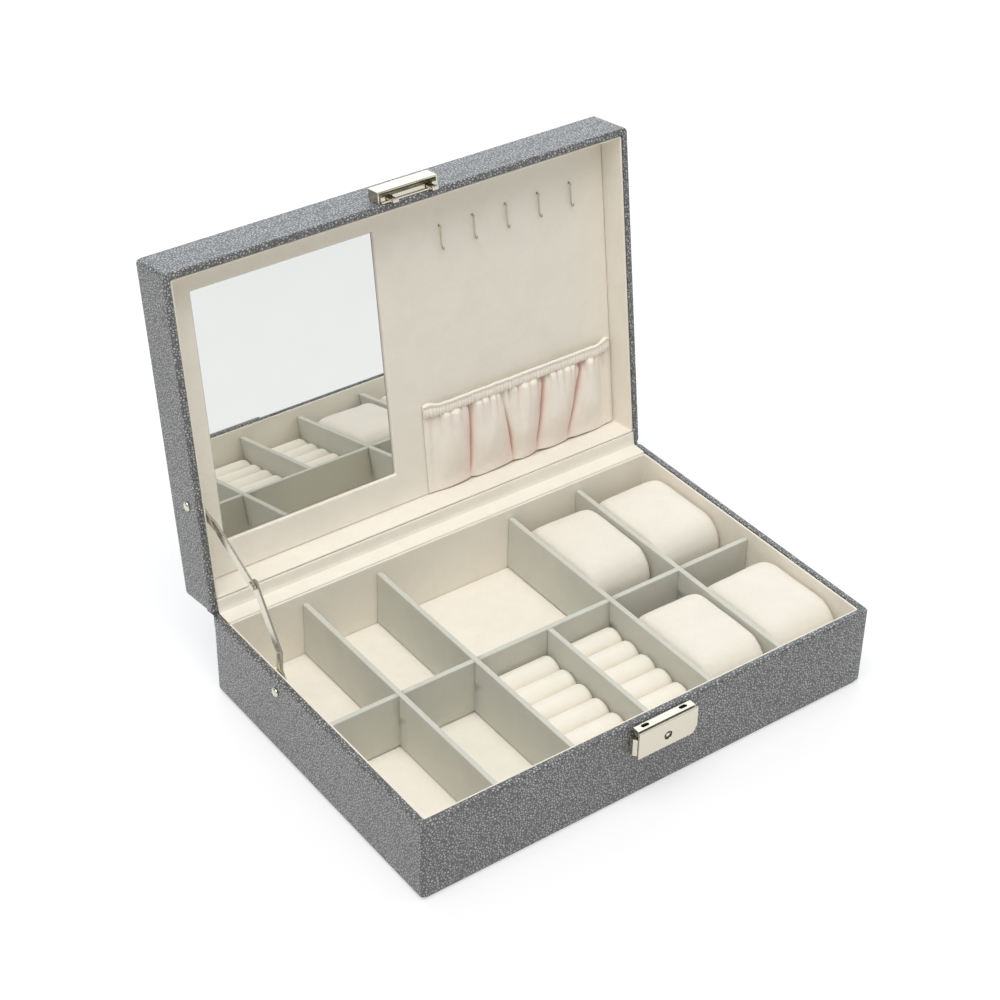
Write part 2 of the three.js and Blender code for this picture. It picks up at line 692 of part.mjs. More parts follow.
function place(geometry, pivot, towards) {
  const angle = Math.atan2(towards.y - pivot.y, towards.x - pivot.x);
  return geometry.rotateX(angle).translate(0, pivot.x, pivot.y);
}

// A rivet through the wall: a dome outside, a shank, and a small head past the arm
function wallRivet(y, z) {
  const seat = -halfWidth - glueGap;
  const outside = domePoints(rivetHeadRadius, rivetHeadHeight, 0).reverse();
  const inner = armInnerX + stayArmThickness + runningGap;
  const profile = outside.map(([radius, rise]) => [radius, seat - rise]);
  profile.push([rivetShankRadius, seat], [rivetShankRadius, inner]);
  profile.push(...domePoints(rivetHeadRadius - 0.5, 0.8, inner));
  return turnedX(profile, y, z);
}

// Half of the knuckle rivet: a domed head and the shank that fills its own arm's eye
function knuckleHalf(headSeat, shankEnd, direction) {
  const profile = domePoints(rivetHeadRadius - 0.3, 0.9, 0).map(
    ([radius, rise]) => [radius, headSeat + direction * rise]);
  profile.unshift([0, shankEnd], [rivetShankRadius, shankEnd], [rivetShankRadius, headSeat]);
  const ordered = direction > 0 ? profile : profile.reverse();
  return turnedX(ordered, knuckle.x, knuckle.y);
}

function makeStay() {
  add(group, 'stay_lower_arm', place(stayArm(stayLowerStandOff), stayBasePivot, knuckle), nickel);
  add(group, 'stay_upper_arm', place(stayArm(stayUpperStandOff), stayLidPivot, knuckle), nickel);
  add(group, 'stay_base_rivet', wallRivet(stayBaseY, stayBaseZ), nickel);
  add(lid, 'stay_lid_rivet', wallRivet(stayLidY, stayLidZ), nickel);
  const lowerFace = innerLeft + stayLowerStandOff;
  const upperFace = innerLeft + stayUpperStandOff;
  const headGap = 0.1;
  add(group, 'stay_knuckle_pin', knuckleHalf(
    lowerFace + stayArmThickness + headGap, lowerFace, 1), nickel);
  add(group, 'stay_knuckle_cap', knuckleHalf(
    upperFace - headGap, upperFace + stayArmThickness, -1), nickel);
}

makeBaseShell();
makeBaseLining();
makeDividers();
makeSoftFittings();
makeLock();
makeLidShell();
for (let i = 0; i < hookCount; i += 1) {
  add(lid, `necklace_hook_${i + 1}`, hook(hookFirstX + i * hookPitch), nickel);
}
makePocket();
makeCatch();
makeStay();

export default group;
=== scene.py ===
import json
import math

import bmesh
import bpy
from bpy.props import FloatProperty, FloatVectorProperty, IntProperty, PointerProperty
from mathutils import Matrix, Vector, noise

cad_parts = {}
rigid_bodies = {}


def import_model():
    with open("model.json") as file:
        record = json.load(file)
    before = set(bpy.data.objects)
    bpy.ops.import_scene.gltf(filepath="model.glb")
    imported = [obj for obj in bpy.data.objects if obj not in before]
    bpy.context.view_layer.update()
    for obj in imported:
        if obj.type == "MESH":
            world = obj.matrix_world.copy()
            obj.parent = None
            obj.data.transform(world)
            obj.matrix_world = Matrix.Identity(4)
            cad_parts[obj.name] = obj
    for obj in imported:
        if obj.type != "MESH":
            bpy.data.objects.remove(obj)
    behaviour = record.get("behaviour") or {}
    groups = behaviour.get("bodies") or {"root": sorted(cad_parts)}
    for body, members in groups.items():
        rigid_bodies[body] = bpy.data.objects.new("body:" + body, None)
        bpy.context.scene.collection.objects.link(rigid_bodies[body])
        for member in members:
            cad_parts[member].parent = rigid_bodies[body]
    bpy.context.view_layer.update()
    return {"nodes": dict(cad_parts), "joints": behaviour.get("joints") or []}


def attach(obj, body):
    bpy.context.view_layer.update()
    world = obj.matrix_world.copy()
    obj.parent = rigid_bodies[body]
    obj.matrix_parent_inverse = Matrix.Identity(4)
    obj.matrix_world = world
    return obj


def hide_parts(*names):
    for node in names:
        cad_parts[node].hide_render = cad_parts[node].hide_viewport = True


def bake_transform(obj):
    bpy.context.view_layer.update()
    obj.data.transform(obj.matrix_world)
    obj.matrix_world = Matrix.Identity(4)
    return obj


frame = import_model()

bl_info = {
    "name": "Watch and jewellery box",
    "version": (1, 0, 0),
    "blender": (4, 5, 0),
    "location": "3D View > Sidebar > Jewellery Box",
    "description": "Makes the finished pieces of a lidded box for watches and jewellery",
    "category": "Object",
}

# ---- The frame: joints, and the lid's own drawing position ----

MM = 0.001
JOINTS = {joint["name"]: joint for joint in frame["joints"]}
HINGE = Vector(JOINTS["lid_hinge"]["pos_m"])
SHUT_ANGLE = math.radians(JOINTS["lid_hinge"]["range_deg"][0])
# Lid pieces are drawn shut about the hinge line, then turned open
LID = Matrix.Translation(HINGE) @ Matrix.Rotation(SHUT_ANGLE, 4, "X")
BASE = Matrix.Identity(4)


class Extent:
    """Lowest and highest corner of a node, in millimetres, in the given drawing position."""

    def __init__(self, node, place=BASE):
        back = place.inverted()
        points = [back @ v.co / MM for v in frame["nodes"][node].data.vertices]
        self.x0, self.y0, self.z0 = (min(p[i] for p in points) for i in range(3))
        self.x1, self.y1, self.z1 = (max(p[i] for p in points) for i in range(3))


# ---- Settings a user would change ----


class BoxSizes(bpy.types.PropertyGroup):
    grain_spacing: FloatProperty(
        name="Grain spacing", description="Distance between the pebbles of the leatherette",
        default=0.00142, min=0.0005, max=0.01, precision=5, unit="LENGTH")
    edge_radius: FloatProperty(
        name="Cover edge radius", description="Rounding of the covered edges",
        default=0.0016, min=0.0005, max=0.003, precision=4, unit="LENGTH")
    hook_wire: FloatProperty(
        name="Hook wire", description="Diameter of the necklace hooks' wire",
        default=0.0008, min=0.0006, max=0.002, precision=4, unit="LENGTH")
    pillow_cap: FloatProperty(
        name="Pillow swell", description="Furthest that a pillow's cover may swell",
        default=0.004, min=0.0, max=0.01, precision=4, unit="LENGTH")
    stitch_length: FloatProperty(
        name="Stitch length", description="Length of one stitch on the pocket's seams",
        default=0.0022, min=0.001, max=0.005, precision=4, unit="LENGTH")
    gathers: IntProperty(
        name="Casing gathers", description="Gathers along the pocket's elastic casing",
        default=72, min=10, max=90)


class BoxColours(bpy.types.PropertyGroup):
    bead: FloatVectorProperty(
        name="Grain top", description="Colour of the leatherette's pebbles",
        default=(0.358, 0.358, 0.350), min=0, max=1, subtype="COLOR")
    groove: FloatVectorProperty(
        name="Grain groove", description="Colour between the leatherette's pebbles",
        default=(0.068, 0.070, 0.070), min=0, max=1, subtype="COLOR")
    suede: FloatVectorProperty(
        name="Suede", description="Colour of the cream lining",
        default=(0.920, 0.868, 0.766), min=0, max=1, subtype="COLOR")
    divider: FloatVectorProperty(
        name="Divider suede", description="Colour of the dividers' covering",
        default=(0.63, 0.625, 0.55), min=0, max=1, subtype="COLOR")
    satin: FloatVectorProperty(
        name="Pocket satin", description="Colour of the gathered pocket",
        default=(0.97, 0.915, 0.82), min=0, max=1, subtype="COLOR")
    # Painted shade: pinkish colour painted into the pocket's folds, its gathers and towards its foot, where shade
    # and pink bounced light fall
    fold: FloatVectorProperty(
        name="Satin folds", description="Colour deep in the pocket's folds",
        default=(0.66, 0.37, 0.30), min=0, max=1, subtype="COLOR")
    nickel: FloatVectorProperty(
        name="Nickel", description="Colour of the metal fittings",
        default=(0.72, 0.68, 0.57), min=0, max=1, subtype="COLOR")
    hook_wire: FloatVectorProperty(
        name="Hook wire", description="Colour of the necklace hooks",
        default=(0.50, 0.45, 0.345), min=0, max=1, subtype="COLOR")


class BoxStage(bpy.types.PropertyGroup):
    azimuth: FloatProperty(
        name="Azimuth", description="Camera angle round the box",
        default=math.radians(-36.718), subtype="ANGLE")
    elevation: FloatProperty(
        name="Elevation", description="Camera angle above the horizon",
        default=math.radians(35.3), subtype="ANGLE")
    roll: FloatProperty(
        name="Roll", description="Camera turn about its own line of sight",
        default=math.radians(1.114), subtype="ANGLE")
    distance: FloatProperty(
        name="Distance", description="From the camera to the point it looks at",
        default=1.21419, unit="LENGTH")
    key_power: FloatProperty(
        name="Key light", description="Power of the large overhead light, in watts",
        default=29.5, min=0)
    rim_power: FloatProperty(
        name="Back light", description="Power of the low light behind the box, in watts",
        default=27.0, min=0)
    sky: FloatProperty(
        name="Surrounding light", description="Strength of the white surroundings",
        default=0.42, min=0)


# ---- Mesh tools: sizes in millimetres, made into metres by piece() ----


def piece(name, shape, body, material, place=BASE, smooth_angle=50.0, outward=True):
    """A mesh object from (points, faces), turned to its place and set to ride on its body."""
    points, faces = shape
    mesh = bpy.data.meshes.new(name)
    mesh.from_pydata([place @ (Vector(p) * MM) for p in points], [], faces)
    shell = bmesh.new()
    shell.from_mesh(mesh)
    if outward:
        bmesh.ops.recalc_face_normals(shell, faces=shell.faces)
    for face in shell.faces:
        face.smooth = True
    shell.to_mesh(mesh)
    shell.free()
    mesh.set_sharp_from_angle(angle=math.radians(smooth_angle))
    obj = bpy.data.objects.new(name, mesh)
    bpy.context.scene.collection.objects.link(obj)
    obj.data.materials.append(material)
    if body:
        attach(obj, body)
    return obj


def merge(*shapes):
    points, faces = [], []
    for more_points, more_faces in shapes:
        start = len(points)
        points.extend(more_points)
        faces.extend([tuple(i + start for i in face) for face in more_faces])
    return points, faces


def graded(low, high, radius, steps, cell):
    """Places along a side: set for even angles round both corners, with a row beside each."""
    curve = [radius * (1 - math.tan(math.pi / 4 * (1 - k / steps))) for k in range(steps + 1)]
    span = high - low - 2 * radius
    margin = min(0.3, span / 4)
    flat = max(1, round((span - 2 * margin) / cell))
    middle = [low + radius + margin + (span - 2 * margin) * i / flat for i in range(flat + 1)]
    return [low + c for c in curve] + middle + [high - c for c in reversed(curve)]


def soft_box(x0, x1, y0, y1, z0, z1, radius, steps=3, cell=30.0, warp=None):
    """A closed box with rounded edges; warp(point, outward) may move its points."""
    xs = graded(x0, x1, radius, steps, cell)
    ys = graded(y0, y1, radius, steps, cell)
    zs = graded(z0, z1, radius, steps, cell)
    nx, ny, nz = len(xs) - 1, len(ys) - 1, len(zs) - 1
    index, points, faces = {}, [], []

    def corner(i, j, k):
        key = (i, j, k)
        if key not in index:
            p = Vector((xs[i], ys[j], zs[k]))
            core = Vector((min(max(p.x, x0 + radius), x1 - radius),
                           min(max(p.y, y0 + radius), y1 - radius),
                           min(max(p.z, z0 + radius), z1 - radius)))
            out = (p - core).normalized()
            p = core + out * radius
            index[key] = len(points)
            points.append(warp(p, out) if warp else p)
        return index[key]

    def wall(count_a, count_b, at):
        for a in range(count_a):
            for b in range(count_b):
                faces.append((at(a, b), at(a + 1, b), at(a + 1, b + 1), at(a, b + 1)))

    wall(nx, ny, lambda a, b: corner(a, b, nz))
    wall(nx, ny, lambda a, b: corner(a, b, 0))
    wall(ny, nz, lambda a, b: corner(nx, a, b))
    wall(ny, nz, lambda a, b: corner(0, a, b))
    wall(nx, nz, lambda a, b: corner(a, 0, b))
    wall(nx, nz, lambda a, b: corner(a, ny, b))
    return points, faces


def rect_loop(x0, x1, y0, y1, z, radius, steps=5, parts=10):
    """Points round a rectangle with rounded corners; each straight side has this many parts."""
    corners = [(x1 - radius, y0 + radius, -90), (x1 - radius, y1 - radius, 0),
               (x0 + radius, y1 - radius, 90), (x0 + radius, y0 + radius, 180)]
    arcs = []
    for cx, cy, start in corners:
        turns = [math.radians(start + 90 * k / steps) for k in range(steps + 1)]
        arcs.append([Vector((cx + radius * math.cos(t), cy + radius * math.sin(t), z))
                     for t in turns])
    points = []
    for i, arc in enumerate(arcs):
        points.extend(arc)
        following = arcs[(i + 1) % 4][0]
        for k in range(1, parts):
            points.append(arc[-1].lerp(following, k / parts))
    return points


def loft(loops, capped=False):
    """Quads between loops of equal count, run round into a ring or capped at both ends."""
    count = len(loops[0])
    points = [p for loop in loops for p in loop]
    faces = []
    for i in range(len(loops) - 1 if capped else len(loops)):
        a, b = i * count, ((i + 1) % len(loops)) * count
        for k in range(count):
            n = (k + 1) % count
            faces.append((a + k, a + n, b + n, b + k))
    if capped:
        faces.append(tuple(range(count)))
        faces.append(tuple(range(len(points) - count, len(points))))
    return points, faces


def settled(obj):
    """Turns obj's modifiers into plain mesh."""
    depsgraph = bpy.context.evaluated_depsgraph_get()
    mesh = bpy.data.meshes.new_from_object(obj.evaluated_get(depsgraph), depsgraph=depsgraph)
    old = obj.data
    obj.modifiers.clear()
    obj.data = mesh
    mesh.name = obj.name
    bpy.data.meshes.remove(old)
    return obj


def subtract(obj, cutter):
    """Cuts a closed object out of obj and removes it."""
    change = obj.modifiers.new("cut", "BOOLEAN")
    change.operation = "DIFFERENCE"
    change.solver = "EXACT"
    change.object = cutter
    settled(obj)
    bpy.data.objects.remove(cutter)


def smoothstep(low, high, value):
    t = min(max((value - low) / (high - low), 0.0), 1.0)
    return t * t * (3 - 2 * t)


# ---- Shader tools ----


def feed(tree, node, inputs):
    """Gives a node's inputs their values, or their links from other nodes' sockets."""
    for key, value in inputs.items():
        if isinstance(value, bpy.types.NodeSocket):
            tree.links.new(value, node.inputs[key])
        else:
            node.inputs[key].default_value = value


def add(tree, kind, inputs=None, **settings):
    """A node with its settings and its inputs."""
    node = tree.nodes.new(kind)
    for key, value in settings.items():
        setattr(node, key, value)
    feed(tree, node, inputs or {})
    return node


def maths(tree, operation, first, second=0.0, third=0.0, clamp=False):
    node = add(tree, "ShaderNodeMath", {0: first, 1: second, 2: third}, operation=operation)
    node.use_clamp = clamp
    return node.outputs[0]


def ranged(tree, value, low, high, to_low=0.0, to_high=1.0, smooth=True):
    node = add(tree, "ShaderNodeMapRange", {
        "Value": value, "From Min": low, "From Max": high, "To Min": to_low, "To Max": to_high},
        interpolation_type="SMOOTHSTEP" if smooth else "LINEAR")
    return node.outputs["Result"]


def mixed(tree, factor, first, second):
    node = add(tree, "ShaderNodeMix", {"Factor": factor}, data_type="RGBA")
    for slot, value in ((6, first), (7, second)):
        plain = not isinstance(value, bpy.types.NodeSocket)
        feed(tree, node, {slot: (*value, 1.0) if plain else value})
    return node.outputs[2]


def group_tree(name, inputs, outputs):
    """An empty shader node group with named number and vector sockets."""
    tree = bpy.data.node_groups.new(name, "ShaderNodeTree")
    for label, kind, value in inputs:
        socket = tree.interface.new_socket(label, in_out="INPUT", socket_type=kind)
        if value is not None:
            socket.default_value = value
    for label in outputs:
        tree.interface.new_socket(label, in_out="OUTPUT", socket_type="NodeSocketFloat")
    start = tree.nodes.new("NodeGroupInput")
    end = tree.nodes.new("NodeGroupOutput")
    return tree, start.outputs, end.inputs


def pebble_group():
    """Round pebbles of uneven size with dark grooves: height, a tip mask for a painted highlight, and slow change
    of tone.
    """
    tree, given, result = group_tree("pebble_grain", [
        ("Vector", "NodeSocketVector", None),
        ("Spacing", "NodeSocketFloat", 0.0016),
        ("Waviness", "NodeSocketFloat", 0.0005)], ["Height", "Painted Highlight", "Tone"])
    drift = add(tree, "ShaderNodeTexNoise", {
        "Vector": given["Vector"], "Scale": 330.0, "Detail": 1.0}, noise_dimensions="3D")
    centred = add(tree, "ShaderNodeVectorMath", {
        0: drift.outputs["Color"], 1: (0.5, 0.5, 0.5)}, operation="SUBTRACT")
    pushed = add(tree, "ShaderNodeVectorMath", {0: centred.outputs[0]}, operation="SCALE")
    tree.links.new(given["Waviness"], pushed.inputs["Scale"])
    moved = add(tree, "ShaderNodeVectorMath", {
        0: given["Vector"], 1: pushed.outputs[0]}, operation="ADD")
    scale = maths(tree, "DIVIDE", 1.0, given["Spacing"])
    cells = add(tree, "ShaderNodeTexVoronoi", {
        "Vector": moved.outputs[0], "Scale": scale, "Randomness": 0.9}, feature="F1")
    edges = add(tree, "ShaderNodeTexVoronoi", {
        "Vector": moved.outputs[0], "Scale": scale, "Randomness": 0.9},
        feature="DISTANCE_TO_EDGE")
    rim = ranged(tree, edges.outputs["Distance"], 0.03, 0.30)
    crown = ranged(tree, cells.outputs["Distance"], 0.75, 0.10)
    dome = maths(tree, "ADD", maths(tree, "MULTIPLY", crown, 0.55), 0.45)
    height = maths(tree, "MULTIPLY", rim, dome)
    tone = add(tree, "ShaderNodeTexNoise", {
        "Vector": given["Vector"], "Scale": 21.0, "Detail": 2.0}, noise_dimensions="3D")
    tree.links.new(height, result["Height"])
    # Mask for a painted highlight on the highest part of each pebble
    tree.links.new(ranged(tree, height, 0.62, 0.98), result["Painted Highlight"])
    tree.links.new(ranged(tree, tone.outputs["Fac"], 0.3, 0.7), result["Tone"])
    return tree


def nap_group():
    """Brushed nap of suede: fine height, and soft cloudy mottling."""
    tree, given, result = group_tree("suede_nap", [
        ("Vector", "NodeSocketVector", None),
        ("Fineness", "NodeSocketFloat", 2600.0),
        ("Cloud Size", "NodeSocketFloat", 55.0)], ["Height", "Mottle"])
    fibres = add(tree, "ShaderNodeTexNoise", {
        "Vector": given["Vector"], "Scale": given["Fineness"], "Detail": 2.0, "Roughness": 0.6},
        noise_dimensions="3D")
    tufts = add(tree, "ShaderNodeTexNoise", {
        "Vector": given["Vector"], "Scale": 620.0, "Detail": 2.0}, noise_dimensions="3D")
    clouds = add(tree, "ShaderNodeTexNoise", {
        "Vector": given["Vector"], "Scale": given["Cloud Size"], "Detail": 5.0,
        "Roughness": 0.62, "Distortion": 0.6}, noise_dimensions="3D")
    height = maths(tree, "ADD", maths(tree, "MULTIPLY", fibres.outputs["Fac"], 0.45),
                   maths(tree, "MULTIPLY", tufts.outputs["Fac"], 0.55))
    tree.links.new(height, result["Height"])
    tree.links.new(ranged(tree, clouds.outputs["Fac"], 0.30, 0.70), result["Mottle"])
    return tree


def new_material(name):
    material = bpy.data.materials.new(name)
    material.use_nodes = True
    tree = material.node_tree
    tree.nodes.clear()
    shader = tree.nodes.new("ShaderNodeBsdfPrincipled")
    output = tree.nodes.new("ShaderNodeOutputMaterial")
    tree.links.new(shader.outputs["BSDF"], output.inputs["Surface"])
    place = add(tree, "ShaderNodeTexCoord").outputs["Object"]
    return material, tree, shader, place


def grouped(tree, group, inputs):
    return add(tree, "ShaderNodeGroup", inputs, node_tree=group).outputs


def bumped(tree, shader, height, strength, distance):
    bump = add(tree, "ShaderNodeBump", {"Height": height, "Strength": strength, "Distance": distance})
    tree.links.new(bump.outputs["Normal"], shader.inputs["Normal"])


def dimmed(colour, factor):
    return tuple(c * factor for c in colour)


def make_leather(pebbles):
    colours, sizes = bpy.context.scene.box_colours, bpy.context.scene.box_sizes
    material, tree, shader, place = new_material("leatherette")
    grain = grouped(tree, pebbles, {
        "Vector": place, "Spacing": sizes.grain_spacing, "Waviness": 0.0008})
    bead = mixed(tree, grain["Tone"], dimmed(colours.bead, 0.86), colours.bead)
    toned = mixed(tree, ranged(tree, grain["Height"], 0.0, 0.60), colours.groove, bead)
    # Painted highlight: pale bluish grey mixed onto the pebbles' tips, standing in for light catching them
    highlight_painted_colour = mixed(tree, maths(tree, "MULTIPLY", grain["Painted Highlight"], 0.5), toned, (0.68, 0.69, 0.70))
    feed(tree, shader, {
        "Base Color": highlight_painted_colour,
        "Roughness": ranged(tree, grain["Height"], 0.0, 1.0, 0.55, 0.30, smooth=False),
        "Specular IOR Level": 0.75, "Coat Weight": 0.5, "Coat Roughness": 0.35})
    bumped(tree, shader, grain["Height"], 1.0, 0.00042)
    return material


def make_suede(name, colour, nap, sheen, contrast, cloud_size=55.0):
    material, tree, shader, place = new_material(name)
    cloth = grouped(tree, nap, {"Vector": place, "Fineness": 2600.0, "Cloud Size": cloud_size})
    brushed = mixed(tree, cloth["Mottle"], dimmed(colour, 1 - contrast), colour)
    flecked = mixed(tree, ranged(tree, cloth["Height"], 0.35, 0.65), dimmed(colour, 0.93), colour)
    feed(tree, shader, {
        "Base Color": mixed(tree, 0.35, brushed, flecked),
        "Roughness": ranged(tree, cloth["Mottle"], 0.0, 1.0, 0.95, 0.82),
        "Specular IOR Level": 0.15, "Sheen Weight": sheen, "Sheen Roughness": 0.45})
    bumped(tree, shader, cloth["Height"], 0.5, 0.00012)
    return material


def make_satin(nap):
    colours = bpy.context.scene.box_colours
    material, tree, shader, place = new_material("pocket_satin")
    # Painted shade: a per-point attribute mixes the satin towards the pinkish fold colour in folds, gathers and
    # creases and towards the foot
    depth = add(tree, "ShaderNodeAttribute", attribute_name="satin_painted_shade").outputs["Fac"]
    cloth = grouped(tree, nap, {"Vector": place, "Fineness": 3200.0, "Cloud Size": 90.0})
    face = mixed(tree, cloth["Mottle"], dimmed(colours.satin, 0.96), colours.satin)
    feed(tree, shader, {
        "Base Color": mixed(tree, depth, face, colours.fold),
        "Roughness": ranged(tree, cloth["Height"], 0.2, 0.8, 0.52, 0.40),
        "Specular IOR Level": 0.45, "Sheen Weight": 0.15, "Sheen Roughness": 0.4})
    bumped(tree, shader, cloth["Height"], 0.25, 0.00006)
    return material


def make_metal(name, colour):
    material, tree, shader, place = new_material(name)
    haze = add(tree, "ShaderNodeTexNoise", {"Vector": place, "Scale": 260.0, "Detail": 4.0})
    stretched = add(tree, "ShaderNodeMapping", {"Vector": place, "Scale": (60.0, 2400.0, 2400.0)})
    lines = add(tree, "ShaderNodeTexNoise", {
        "Vector": stretched.outputs[0], "Scale": 1.0, "Detail": 2.0})
    feed(tree, shader, {
        "Base Color": mixed(tree, haze.outputs["Fac"], dimmed(colour, 0.93), colour),
        "Roughness": ranged(tree, haze.outputs["Fac"], 0.3, 0.7, 0.16, 0.25), "Metallic": 1.0})
    bumped(tree, shader, lines.outputs["Fac"], 0.06, 0.00003)
    return material


def make_mirror():
    material, tree, shader, place = new_material("mirror_glass")
    haze = add(tree, "ShaderNodeTexNoise", {"Vector": place, "Scale": 40.0, "Detail": 3.0})
    feed(tree, shader, {
        "Base Color": mixed(tree, haze.outputs["Fac"], (0.765, 0.775, 0.760), (0.790, 0.800, 0.785)),
        "Roughness": ranged(tree, haze.outputs["Fac"], 0.3, 0.7, 0.004, 0.014), "Metallic": 1.0})
    return material


def make_felt(nap):
    material, tree, shader, place = new_material("underside_felt")
    cloth = grouped(tree, nap, {"Vector": place, "Fineness": 1500.0, "Cloud Size": 80.0})
    feed(tree, shader, {
        "Base Color": mixed(tree, cloth["Height"], (0.020, 0.018, 0.016), (0.075, 0.068, 0.060)),
        "Roughness": ranged(tree, cloth["Mottle"], 0.0, 1.0, 0.88, 0.98), "Sheen Weight": 0.25})
    bumped(tree, shader, cloth["Height"], 0.8, 0.0003)
    return material


def make_board():
    material, tree, shader, place = new_material("fibreboard")
    fibres = add(tree, "ShaderNodeTexNoise", {"Vector": place, "Scale": 1400.0, "Detail": 5.0})
    patches = add(tree, "ShaderNodeTexNoise", {"Vector": place, "Scale": 60.0, "Detail": 2.0})
    brown = mixed(tree, fibres.outputs["Fac"], (0.30, 0.20, 0.115), (0.47, 0.34, 0.215))
    feed(tree, shader, {
        "Base Color": mixed(tree, patches.outputs["Fac"], brown, (0.40, 0.285, 0.175)),
        "Roughness": ranged(tree, fibres.outputs["Fac"], 0.3, 0.7, 0.92, 0.75)})
    bumped(tree, shader, fibres.outputs["Fac"], 0.4, 0.0002)
    return material


MATERIALS = {}


def finishes():
    """The materials, made once and shared by all the pieces."""
    if not MATERIALS:
        colours = bpy.context.scene.box_colours
        nap = nap_group()
        MATERIALS["leather"] = make_leather(pebble_group())
        MATERIALS["suede"] = make_suede("cream_suede", tuple(colours.suede), nap, 0.12, 0.055)
        # Painted shade: the pillows get a darker copy of the cream suede, to hold back the extra light on their
        # tops
        MATERIALS["pillow"] = make_suede("pillow_suede_painted_darker", dimmed(colours.suede, 0.93), nap, 0.12, 0.055)
        MATERIALS["divider"] = make_suede("divider_suede", tuple(colours.divider), nap, 0.25, 0.05)
        MATERIALS["satin"] = make_satin(nap)
        MATERIALS["nickel"] = make_metal("nickel", tuple(colours.nickel))
        MATERIALS["hook_wire"] = make_metal("hook_wire", tuple(colours.hook_wire))
        MATERIALS["mirror"] = make_mirror()
        MATERIALS["felt"] = make_felt(nap)
        MATERIALS["board"] = make_board()
    return MATERIALS


def refinish(node, material):
    """Gives a CAD node its finish."""
    mesh = frame["nodes"][node].data
    mesh.materials.clear()
    mesh.materials.append(material)


# ---- Sizes shared by several pieces ----

base_cover = Extent("base_cover")
lid_cover = Extent("lid_cover", LID)
floor_pad = Extent("floor_pad")
panel = Extent("lid_panel", LID)
base_lining = Extent("hinge_lining_base")
lid_lining = Extent("hinge_lining_lid", LID)
COVER = 0.9
LIP = 3.75
REAR_LIP = 1.05
LINER = 1.0
# How far the lining stands off the covers' rear rims where it crosses them
RIM_CLOTH = 0.12


def inner_box(names, place=BASE):
    """The clear space between four liners: x0, x1, y0, y1, and their low and high ends."""
    front, rear, left, right = (Extent(name, place) for name in names)
    return left.x1, right.x0, front.y1, rear.y0, front.z0, front.z1


BASE_LINERS = [f"base_{side}_liner" for side in ("front", "rear", "left", "right")]
LID_LINERS = [f"lid_{side}_liner" for side in ("front", "rear", "left", "right")]


class PieceOperator:
    bl_options = {"REGISTER", "UNDO"}


class BOX_OT_covers(PieceOperator, bpy.types.Operator):
    """Leatherette shells of the base and of the lid, with rounded edges and turned lips"""
    bl_idname = "jewellery_box.covers"
    bl_label = "Covers"
    corner_radius = 2.6
    rim_radius = 1.25
    lid_edge_radius = 1.7
    # How far the cover turns in under the box
    turned_in = 12.0
    # Points round a quarter turn, in degrees
    round_steps = range(0, 91, 15)

    def shell_loops(self, box, section):
        """One loop round the box for each (inset, rear inset, height) of the section."""
        loops = []
        for inset, rear, z in section:
            corner = max(self.corner_radius - inset, 0.25)
            loops.append(rect_loop(box.x0 + inset, box.x1 - inset, box.y0 + inset,
                                   box.y1 - rear, z, corner, 6, 14))
        return loops

    def execute(self, context):
        r = context.scene.box_sizes.edge_radius / MM
        rim = self.rim_radius
        base, lid = base_cover, lid_cover
        section = [(self.turned_in, base.z0)]
        section += [(r + 6.0, base.z0), (r + 0.4, base.z0)]
        section += [(r - r * math.sin(math.radians(a)), base.z0 + r - r * math.cos(math.radians(a)))
                    for a in self.round_steps]
        section += [(0.0, base.z0 + r + 0.4), (0.0, 12.0), (0.0, 24.0), (0.0, 36.0)]
        section += [(0.0, base.z1 - rim - 0.4)]
        section += [(rim - rim * math.cos(math.radians(a)),
                     base.z1 - rim + rim * math.sin(math.radians(a))) for a in self.round_steps]
        outer = [(d, d, z) for d, z in section]
        outer = [(d, min(d, REAR_LIP * 0.95) if z > 40 else d, z) for d, _, z in outer]
        lip = [(LIP - 0.45, REAR_LIP - 0.02, base.z1), (LIP - 0.13, REAR_LIP - 0.01, base.z1 - 0.13),
               (LIP, REAR_LIP, base.z1 - 0.45), (LIP, REAR_LIP, base.z1 - COVER),
               (COVER, COVER, base.z1 - COVER - 0.05), (COVER, COVER, base.z0 + COVER),
               (self.turned_in, self.turned_in, base.z0 + COVER)]
        loops = self.shell_loops(base, outer + lip)
        shell = piece("base_leather", loft(loops), "base", finishes()["leather"])
        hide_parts("base_cover")

        top = self.lid_edge_radius
        outer = [(LIP, REAR_LIP, lid.z0 + COVER), (LIP, REAR_LIP, lid.z0 + 0.45),
                 (LIP - 0.13, REAR_LIP - 0.01, lid.z0 + 0.13), (LIP - 0.45, REAR_LIP - 0.02, lid.z0)]
        arc_points = [(rim - rim * math.cos(math.radians(a)),
                       lid.z0 + rim - rim * math.sin(math.radians(a)))
                      for a in reversed(self.round_steps)]
        outer += [(d, min(d, REAR_LIP * 0.95), z) for d, z in arc_points]
        outer += [(0.0, 0.0, lid.z0 + rim + 0.4), (0.0, 0.0, 10.0), (0.0, 0.0, 19.0)]
        outer += [(0.0, 0.0, lid.z1 - top - 0.4)]
        outer += [(top - top * math.cos(math.radians(a)),) * 2 +
                  (lid.z1 - top + top * math.sin(math.radians(a)),) for a in self.round_steps]
        outer += [(top + 0.5, top + 0.5, lid.z1)]
        inner = [(COVER, COVER, lid.z1 - COVER), (COVER, COVER, lid.z0 + COVER + 0.05)]
        loops = self.shell_loops(lid, inner + outer)
        shape = loft(loops, capped=True)
        cover = piece("lid_leather", shape, "lid", finishes()["leather"], LID)
        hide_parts("lid_cover")
        return {"FINISHED"}


